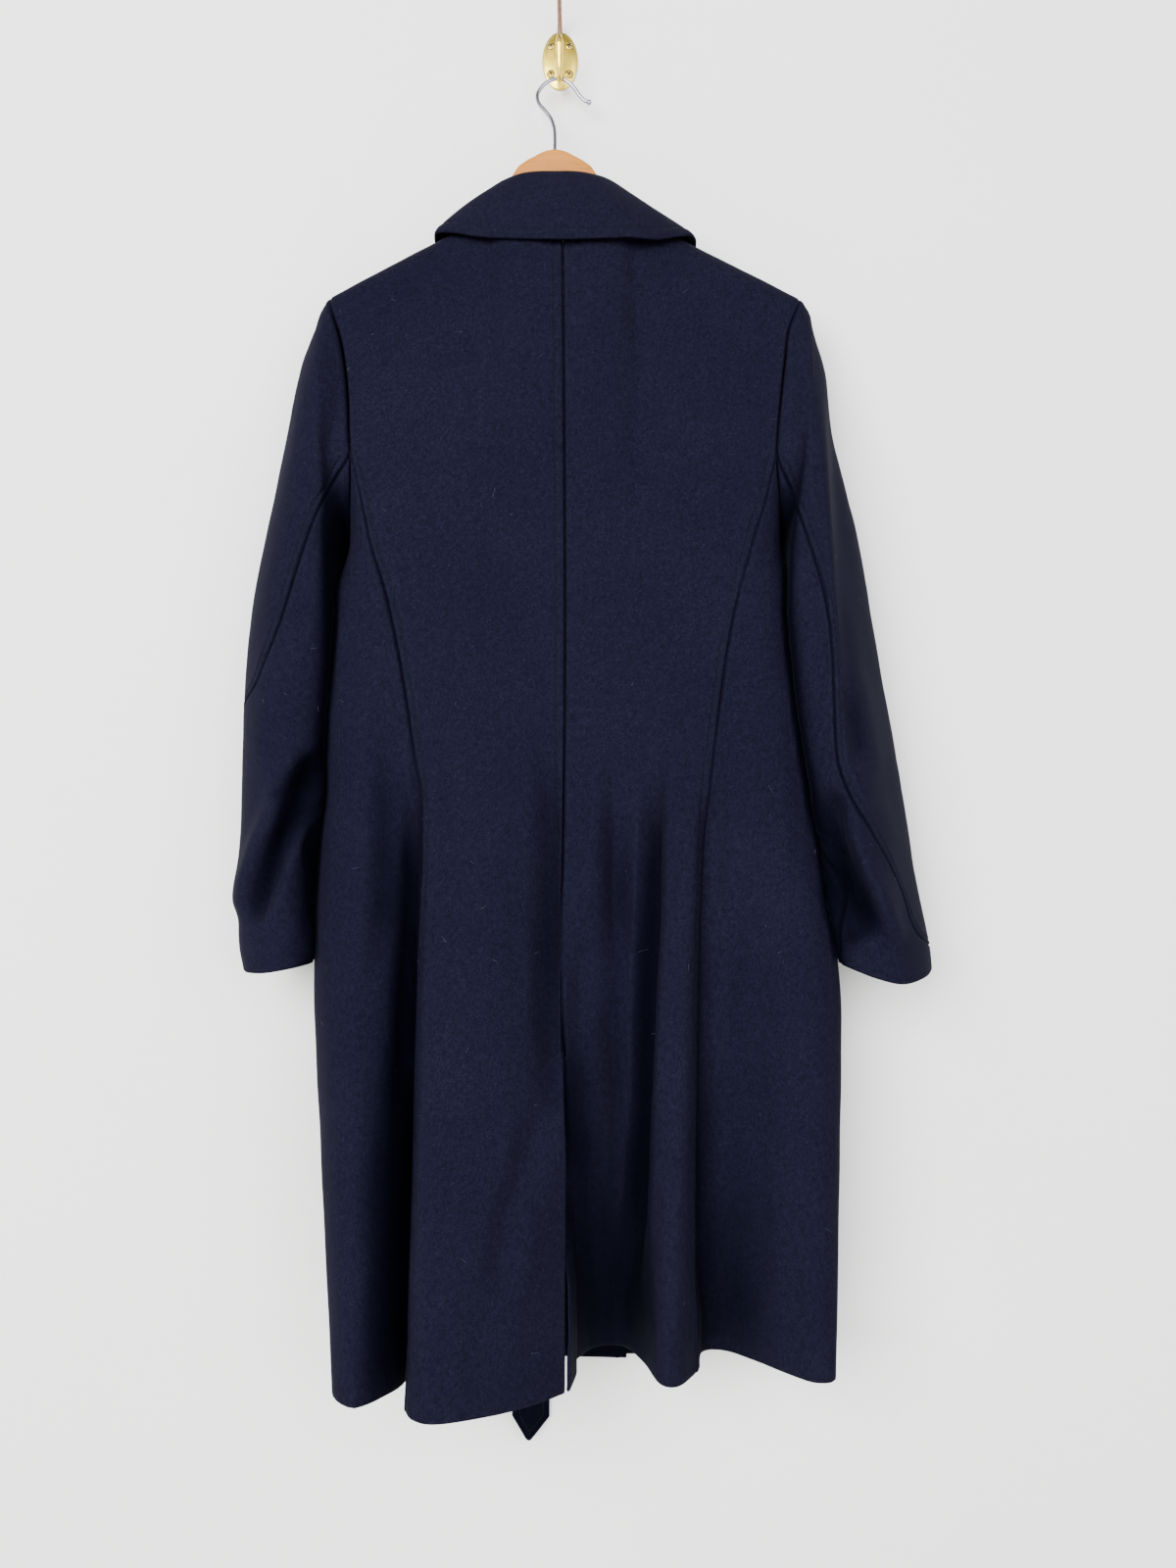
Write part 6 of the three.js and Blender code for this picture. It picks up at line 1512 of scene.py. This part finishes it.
# ------------------------------------------------------------------ hard pieces
def tube_mesh(points, radius, sides=20, steps=160, cap=True):
    """Closed tube with rounded ends; radius may vary along it (share, radius)."""
    pts = np.asarray(points, float)
    f = path(pts)
    s = np.linspace(0, 1, steps)
    C = f(s)
    T = unit(np.gradient(C, axis=0))
    r = np.interp(s, *zip(*radius)) if isinstance(radius, list) else np.full(steps, float(radius))
    up = np.array([1.0, 0, 0]) if abs(T[0, 0]) < 0.9 else np.array([0, 1.0, 0])
    X = np.empty_like(C)
    x = unit(np.cross(np.cross(T[0], up), T[0]))
    for i in range(steps):
        x = unit(x - T[i] * np.dot(x, T[i]))
        X[i] = x
    Y = np.cross(T, X)
    rings_ = []
    a = np.linspace(0, 2 * np.pi, sides, endpoint=False)
    circ = np.cos(a)[None, :, None], np.sin(a)[None, :, None]
    body = C[:, None] + (X[:, None] * circ[0] + Y[:, None] * circ[1]) * r[:, None, None]
    cap_rows0, cap_rows1 = [], []
    for q in (0.3, 0.6, 0.85):
        rr = math.sqrt(1 - q * q)
        cap_rows0.append(C[0] - T[0] * r[0] * q + (X[0] * circ[0][0] + Y[0] * circ[1][0]) * r[0] * rr)
        cap_rows1.append(C[-1] + T[-1] * r[-1] * q + (X[-1] * circ[0][0] + Y[-1] * circ[1][0]) * r[-1] * rr)
    allr = np.concatenate([np.array(cap_rows0[::-1]), body, np.array(cap_rows1)])
    R_ = len(allr)
    V = np.concatenate([allr.reshape(-1, 3), [C[0] - T[0] * r[0], C[-1] + T[-1] * r[-1]]])
    F = []
    for i in range(R_ - 1):
        for j in range(sides):
            F.append((i * sides + j, i * sides + (j + 1) % sides, (i + 1) * sides + (j + 1) % sides, (i + 1) * sides + j))
    for j in range(sides):
        F.append((R_ * sides, (j + 1) % sides, j))
        F.append((R_ * sides + 1, (R_ - 1) * sides + j, (R_ - 1) * sides + (j + 1) % sides))
    return V, F


def lathe_y(profile, cx, cz, sx=1.0, sz=1.0, sides=64):
    """Closed body of revolution about a line along Y: profile of (radius, y)."""
    V, F = [], []
    rings_ = []
    for r, y in profile:
        if r < 1e-6:
            rings_.append([len(V)])
            V.append((cx, y, cz))
        else:
            rings_.append(list(range(len(V), len(V) + sides)))
            for s in range(sides):
                a = 2 * math.pi * s / sides
                V.append((cx + r * sx * math.cos(a), y, cz + r * sz * math.sin(a)))
    for A, B in zip(rings_[:-1], rings_[1:]):
        for s in range(sides):
            a0, a1 = A[s % len(A)], A[(s + 1) % len(A)]
            b0, b1 = B[s % len(B)], B[(s + 1) % len(B)]
            q = [a0, a1, b1, b0]
            q = [x for i, x in enumerate(q) if x not in q[:i]]
            if len(q) >= 3:
                F.append(tuple(q))
    return np.array(V, float), F


import bmesh


def fix_normals(o):
    bm = bmesh.new()
    bm.from_mesh(o.data)
    bmesh.ops.recalc_face_normals(bm, faces=bm.faces)
    bm.to_mesh(o.data)
    bm.free()
    return o


# oval plate with a raised rim line, rounded edge and flat back
plate_prof = [(0, 0), (16.4, 0), (16.9, 0.3), (17.0, 0.8), (16.75, 1.35), (16.2, 1.7), (15.6, 1.78), (15.0, 1.8), (14.4, 2.02), (13.2, 2.4), (11, 2.82), (8, 3.12), (4, 3.33), (0, 3.4)]
V, F = lathe_y([(r, -y) for r, y in plate_prof], 0, 0, 1.0, 55.5 / 34, 96)
plate = mesh("hook_plate", V / 1000, F, BRASS)
fix_normals(plate)
# the rod's dark brown brass is a painted reflection of a brown floor below
V, F = tube_mesh([[0, -2.6, 19], [0, -8.5, 26.5], [0, -22, 35], [0, -45, 47], [0, -58.5, 58.8]], [(0, 3.1), (0.1, 2.5), (0.3, 2.2), (0.9, 2.1), (1, 2.4)])
V[:, 1] = np.minimum(V[:, 1], -0.4)
rod = fix_normals(mesh("hook_rod", V / 1000, F, BRASS_PAINTED_REFLECTION_SHADE))
V, F = lathe_y([(0, -4.2), (1.6, -3.9), (2.9, -3.05), (3.8, -1.8), (4.2, 0), (3.9, 1.6), (3.1, 2.9), (1.9, 3.75), (0, 4.2)], 0, 0, sides=32)
V = V + np.array([0, -60.6, 60.6])
knob = fix_normals(mesh("hook_rod_ball", V / 1000, F, BRASS))
V, F = tube_mesh([[0, -2.7, -17], [0, -9, -26], [0, -20, -32.8], [0, -29, -28.5], [0, -34, -17], [0, -35.6, -5], [0, -36, 1.2]],
                 [(0, 3.8), (0.12, 2.9), (0.3, 2.55), (0.55, 2.5), (0.75, 2.9), (0.9, 3.75), (0.97, 3.2), (1, 2.4)], sides=24)
V[:, 1] = np.minimum(V[:, 1], -0.4)
prong = fix_normals(mesh("hook_prong", V / 1000, F, BRASS))
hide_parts("hook_casting")
for o in (plate, rod, knob, prong):
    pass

# screws with crossed slots
def screw(name, cx, cz, turn):
    bm = bmesh.new()
    seg = 40
    prof = [(3.95, 0.0), (3.95, 0.45), (3.6, 0.95), (3.0, 1.35), (2.2, 1.6), (1.2, 1.72)]
    loops = []
    for r, y in prof:
        loops.append([bm.verts.new((r * math.cos(2 * math.pi * s / seg), -y, r * math.sin(2 * math.pi * s / seg))) for s in range(seg)])
    for A, B in zip(loops[:-1], loops[1:]):
        for s in range(seg):
            bm.faces.new((A[s], A[(s + 1) % seg], B[(s + 1) % seg], B[s]))
    c0 = bm.verts.new((0, 0, 0))
    c1 = bm.verts.new((0, -1.75, 0))
    for s in range(seg):
        bm.faces.new((loops[0][(s + 1) % seg], loops[0][s], c0))
        bm.faces.new((loops[-1][s], loops[-1][(s + 1) % seg], c1))
    bmesh.ops.recalc_face_normals(bm, faces=bm.faces)
    me = bpy.data.meshes.new(name)
    bm.to_mesh(me)
    bm.free()
    o = bpy.data.objects.new(name, me)
    bpy.context.scene.collection.objects.link(o)
    # cut the cross with two thin blocks
    cut = bpy.data.meshes.new(name + "_cut")
    bm = bmesh.new()
    for a in (0, math.pi / 2):
        r = bmesh.ops.create_cube(bm, size=1.0)
        for v in r["verts"]:
            x, y, z = v.co.x * 5.8, v.co.y * 2.1, v.co.z * 1.75
            if y > 0:
                x, z = x * 0.55, z * 0.5
            v.co = (x * math.cos(a) - z * math.sin(a), y - 1.75, x * math.sin(a) + z * math.cos(a))
    bm.to_mesh(cut)
    bm.free()
    co = bpy.data.objects.new(name + "_cut", cut)
    bpy.context.scene.collection.objects.link(co)
    mod = o.modifiers.new("cut", "BOOLEAN")
    mod.operation = "DIFFERENCE"
    mod.object = co
    mod.solver = "EXACT"
    mod.use_self = True
    dg = bpy.context.evaluated_depsgraph_get()
    new = bpy.data.meshes.new_from_object(o.evaluated_get(dg))
    o.modifiers.clear()
    o.data = new
    bpy.data.objects.remove(co)
    V = np.array([v.co for v in new.vertices])
    ca, sa = math.cos(turn), math.sin(turn)
    x, z = V[:, 0] * ca - V[:, 2] * sa, V[:, 0] * sa + V[:, 2] * ca
    tilt_x, tilt_z = cx * 0.011, cz * 0.0065
    W = np.column_stack([x + cx, V[:, 1] - 2.35 + 0.0 * x + (x * tilt_x + z * tilt_z) * 0.8, z + cz]) / 1000
    new.vertices.foreach_set("co", W.astype(np.float32).reshape(-1))
    new.update()
    new.materials.clear()
    new.materials.append(BRASS)
    new.materials.append(SLOT_PAINTED_SHADE)
    new.materials.append(BRASS_PAINTED_REFLECTION_SHADE)
    # painted shade: the slots' walls and floors take the near-black slot material, a ring round the head's edge the
    # dark brass
    for p_ in new.polygons:
        p_.use_smooth = abs(p_.normal.y) > 0.05
        c_ = V[list(p_.vertices)].mean(0)
        if math.hypot(c_[0], c_[2]) < 2.9 and c_[1] > -1.5 and c_[1] < -0.4 or (math.hypot(c_[0], c_[2]) < 2.9 and abs(p_.normal.y) < 0.3):
            p_.material_index = 1
            p_.use_smooth = False
        elif math.hypot(c_[0], c_[2]) > 3.35:
            p_.material_index = 2
    return o


k = 1
for sz in (1, -1):
    for sx in (-1, 1):
        o = screw(f"screw_head_{k}", sx * 8.8, sz * 13.5, 0.35 + 0.5 * k)
        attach(o, "root")
        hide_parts(f"screw_{k}")
        k += 1

# wooden hanger
ARMS = np.array([
    [0, -106.3, -150], [9, -108, -151], [18, -112.4, -154], [28, -118, -160], [36, -125.5, -167], [42, -139, -176], [45, -155, -185],
    [48.5, -171, -193], [54, -183, -200], [76, -193, -211], [105, -205, -229], [130, -217, -243], [155, -231, -256], [178, -243, -266], [187, -251, -268]], float)
X0, Y0, THICK = -4.0, -37.5, 12.0
half = Spline(ARMS[:, 0], ARMS[:, 1:])
ds = np.concatenate([np.linspace(0, 60, 61), np.linspace(62, 184, 62), [185.5, 186.6, 187.0]])
tl = half(ds)
end = smooth(187.0, 176, ds)
midz = (tl[:, 0] + tl[:, 1]) / 2
tl[:, 0] = midz + (tl[:, 0] - midz) * (0.35 + 0.65 * end ** 0.5)
tl[:, 1] = midz + (tl[:, 1] - midz) * (0.35 + 0.65 * end ** 0.5)
xs = np.concatenate([X0 - ds[::-1], X0 + ds[1:]])
tops = np.concatenate([tl[::-1, 0], tl[1:, 0]])
lows = np.concatenate([tl[::-1, 1], tl[1:, 1]])
sec = 36
ang = np.linspace(0, 2 * np.pi, sec, endpoint=False)
pw = 0.42       # a rounded rectangle
cy = np.sign(np.cos(ang)) * np.abs(np.cos(ang)) ** pw
cz_ = np.sign(np.sin(ang)) * np.abs(np.sin(ang)) ** pw
slope = np.gradient((tops + lows) / 2, xs)
V = []
for x, a, b_, in zip(xs, tops, lows):
    e_ = min(1.0, ((187.2 - abs(x - X0)) / 5) ** 0.5) if abs(x - X0) > 182 else 1.0
    hz, hy = (a - b_) / 2, THICK / 2 * max(0.25, e_)
    rr = min(1, 6.0 / hz)
    zz = (a + b_) / 2 + np.where(np.abs(cz_) > 0, np.sign(cz_) * (hz - 6 * (1 - np.abs(cz_)) * 1.0), 0)
    V.append(np.column_stack([np.full(sec, x), Y0 + hy * cy, zz if hz > 7 else (a + b_) / 2 + hz * cz_]))
V = np.array(V)
R_ = len(V)
F = []
for i in range(R_ - 1):
    for j in range(sec):
        F.append((i * sec + j, i * sec + (j + 1) % sec, (i + 1) * sec + (j + 1) % sec, (i + 1) * sec + j))
F.append(tuple(range(sec)))
F.append(tuple((R_ - 1) * sec + j for j in reversed(range(sec))))
wood = fix_normals(mesh("hanger_arms", V.reshape(-1, 3) / 1000, F, BEECH, ("hanger_wood",)))

WIRE = [[27.6, -20, -50.6], [24, -20, -49.3], [19.2, -20, -44.7], [13.4, -20, -36.6], [7.5, -20, -31], [0.4, -20, -28], [-8, -20, -29.8], [-16, -20.5, -35.5],
        [-20.8, -21.5, -44], [-19.5, -23.5, -53.5], [-13.9, -25.5, -61.3], [-7.8, -27.5, -70.5], [-4.9, -30, -80], [-4, -34.5, -92], [-4, -37.5, -105.4]]
V, F = tube_mesh(WIRE, 1.75, sides=20, steps=220)
wire = fix_normals(mesh("hanger_wire", V / 1000, F, CHROME, ("hanger_hook",)))
V, F = lathe_y([(0, -2.5), (1.2, -2.2), (2.1, -1.35), (2.5, 0), (2.1, 1.35), (1.2, 2.2), (0, 2.5)], 0, 0, sides=24)
bulb = fix_normals(mesh("hanger_wire_tip", (V + np.array([27.8, -20, -50.7])) / 1000, F, CHROME))
for o in (wire, bulb):
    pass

# ------------------------------------------------------------------ painted shade: how much of the room each point of the cloth sees
# Each point gets the share of the room that it sees past the rest of the cloth, and the wool's material darkens its
# colour
# by it: painted shade in the folds, the hollows, along seams, on inner faces and beside the sleeves.
whole_tree = tree_of([quads_of(sh["P"], sh["mask"], (3, 2)) for sh in SHELLS])
no_arms = tree_of([quads_of(sh["P"], sh["mask"], (3, 2)) for sh in SHELLS if "sleeve" not in sh["object"].name and "collar" not in sh["object"].name])
arms_only = tree_of([quads_of(sh["P"], sh["mask"], (2, 1)) for sh in SHELLS if "sleeve" in sh["object"].name])

RAYS = []
for i in range(44):
    r_ = math.sqrt((i + 0.5) / 44)
    a_ = i * 2.399963
    RAYS.append((r_ * math.cos(a_), r_ * math.sin(a_), math.sqrt(1 - r_ * r_)))
RAYS = np.array(RAYS)
for sh in SHELLS:
    P, N = sh["P"], sh["N"]
    R_, C_ = P.shape[:2]
    ri = np.unique(np.concatenate([np.arange(0, R_, 4), [R_ - 1]]))
    ci = np.unique(np.concatenate([np.arange(0, C_, 2), [C_ - 1]]))
    A = np.empty((len(ri), len(ci)))
    beside_arm = "back_" in sh["object"].name
    tree = no_arms if beside_arm else whole_tree
    shade_by_sleeve = np.zeros((len(ri), len(ci)))
    for a_, i in enumerate(ri):
        for b_, j in enumerate(ci):
            n = N[i, j]
            t1 = unit(np.cross(n, [0.31, 0.2, 0.93]))
            t2 = np.cross(n, t1)
            D = RAYS @ np.stack([t1, t2, n])
            o_ = Vector((P[i, j] + n * 2.5).tolist())
            hit = 0
            for d_ in D.tolist():
                if tree.ray_cast(o_, d_, 75.0)[0] is not None:
                    hit += 1
            A[a_, b_] = 1 - hit / len(D)
            # painted shade where the back lies close beside a sleeve
            if beside_arm and P[i, j, 2] < -470:
                near = arms_only.find_nearest(Vector(P[i, j].tolist()), 22.0)[3]
                if near is not None:
                    shade_by_sleeve[a_, b_] = math.exp(-(near / 4.5) ** 2)
    # soften, then fill in between
    A = (A + np.roll(A, 1, 0) + np.roll(A, -1, 0)) / 3 if len(ri) > 4 else A
    if len(ri) > 4:
        A[0], A[-1] = A[1], A[-2]
    A = A * (1 - 0.85 * shade_by_sleeve)
    if "belt_end_long" in sh["object"].name:
        # its point hangs free below the hem
        A = np.maximum(A, 0.93 * smooth(-1196, -1226, P[np.ix_(ri, ci)][..., 2]))
    full = np.stack([np.interp(np.arange(C_), ci, row) for row in A])
    full = np.stack([np.interp(np.arange(R_), ri, full[:, j]) for j in range(C_)], 1)
    # painted shade along seams and stitch lines, and in the listed hollows
    if sh["shut"] is not None:
        full = full * (1 - 0.22 * np.clip(sh["shut"], 0, 1))
    if sh["deep"] is not None:
        full = full * (1 - 0.55 * sh["deep"])
    of_ = full.reshape(-1)
    us = sh["used"]
    # inner faces get a fixed painted shade; the innermost rim loop a little more than the edge
    allv = np.concatenate([of_, np.full(len(of_), 0.62), of_[us], of_[us], of_[us] * 0.9])[sh["keep"]]
    at_ = sh["object"].data.attributes.new("open", "FLOAT", "POINT")
    at_.data.foreach_set("value", allv.astype(np.float32))

# ------------------------------------------------------------------ the cut of each sheet, in metres
CUT = {  # width, length along the finished sheet's rows and columns, and its cloth area
    "back_left": (0.238, 1.056, 0.168), "back_right": (0.241, 1.055, 0.186), "side_back_left": (0.225, 0.807, 0.128), "side_back_right": (0.201, 0.803, 0.120),
    "front_left": (0.306, 1.093, 0.267), "front_right": (0.351, 1.098, 0.295),
    "sleeve_upper_left": (0.250, 0.661, 0.093), "sleeve_under_left": (0.201, 0.524, 0.065), "sleeve_upper_right": (0.286, 0.670, 0.126), "sleeve_under_right": (0.156, 0.536, 0.042),
    "collar_fall": (0.469, 0.088, 0.0315), "collar_stand": (0.242, 0.032, 0.0046), "lapel_left": (0.078, 0.231, 0.0105), "lapel_right": (0.080, 0.226, 0.0109),
    "belt_left": (0.040, 0.187, 0.0074), "belt_right": (0.040, 0.214, 0.0085), "belt_knot": (0.039, 0.050, 0.0019), "belt_end_long": (0.037, 0.686, 0.0253), "belt_end_short": (0.037, 0.408, 0.0150),
}
for n_, (w_, l_, a_) in CUT.items():
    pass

# ------------------------------------------------------------------ stage and light
def plain(name, colour, rough=0.9):
    m, nt, b = new_material(name)
    n = node(nt, "ShaderNodeTexNoise", Scale=6.0, Detail=3.0)
    nt.links.new(scaled(nt, (1, 1, 1)), n.inputs["Vector"])
    nt.links.new(ramp(nt, n.outputs["Fac"], [(0.3, tuple(c * 0.985 for c in colour)), (0.7, colour)]), b.inputs["Base Color"])
    b.inputs["Roughness"].default_value = rough
    b.inputs["Specular IOR Level"].default_value = 0.2
    return m, nt, b


wall_m, wnt, wb = plain("backdrop_paint", (0.80, 0.80, 0.79))
geo = wnt.nodes.new("ShaderNodeNewGeometry")
tr = wnt.nodes.new("ShaderNodeBsdfTransparent")
mx = wnt.nodes.new("ShaderNodeMixShader")
outn = [n for n in wnt.nodes if n.type == "OUTPUT_MATERIAL"][0]
wnt.links.new(geo.outputs["Backfacing"], mx.inputs[0])
wnt.links.new(wb.outputs[0], mx.inputs[1])
wnt.links.new(tr.outputs[0], mx.inputs[2])
wnt.links.new(mx.outputs[0], outn.inputs[0])
backdrop = mesh("backdrop", [(-4, 0.0008, -1.75), (4, 0.0008, -1.75), (4, 0.0008, 3.0), (-4, 0.0008, 3.0)], [(0, 1, 2, 3)], wall_m, ride=False, smooth_shade=False)
backdrop.visible_shadow = False   # the rear light reaches the coat's front
floor_m, _, _ = plain("floor_paint", (0.72, 0.71, 0.69))
floor = mesh("floor", [(-6, -6, -1.75), (6, -6, -1.75), (6, 6, -1.75), (-6, 6, -1.75)], [(0, 1, 2, 3)], floor_m, ride=False, smooth_shade=False)


def area(name, loc, target, size, power, colour=(1, 1, 1)):
    d = bpy.data.lights.new(name, "AREA")
    d.shape = "RECTANGLE"
    d.size, d.size_y = size
    d.energy = power
    d.color = colour
    o = bpy.data.objects.new(name, d)
    o.location = loc
    v = np.array(target, float) - np.array(loc, float)
    from mathutils import Vector
    o.rotation_euler = Vector(v.tolist()).to_track_quat("-Z", "Y").to_euler()
    bpy.context.scene.collection.objects.link(o)
    return o


area("key", (-1.3, -2.95, 0.2), (0.0, 0, -0.7), (2.2, 2.0), 312)
area("fill", (1.6, -2.9, 0.2), (0.0, 0, -0.7), (2.0, 2.4), 128, (0.98, 0.98, 1.0))
rear = area("rear", (0.0, 2.6, 0.6), (0.0, 0, -0.6), (2.6, 2.0), 90)
rear.visible_glossy = False   # no glints through the gaps beside the sleeves
world = bpy.data.worlds.new("studio")
bpy.context.scene.world = world
world.use_nodes = True
world.node_tree.nodes["Background"].inputs[0].default_value = (0.93, 0.95, 1.0, 1)
world.node_tree.nodes["Background"].inputs[1].default_value = 0.16
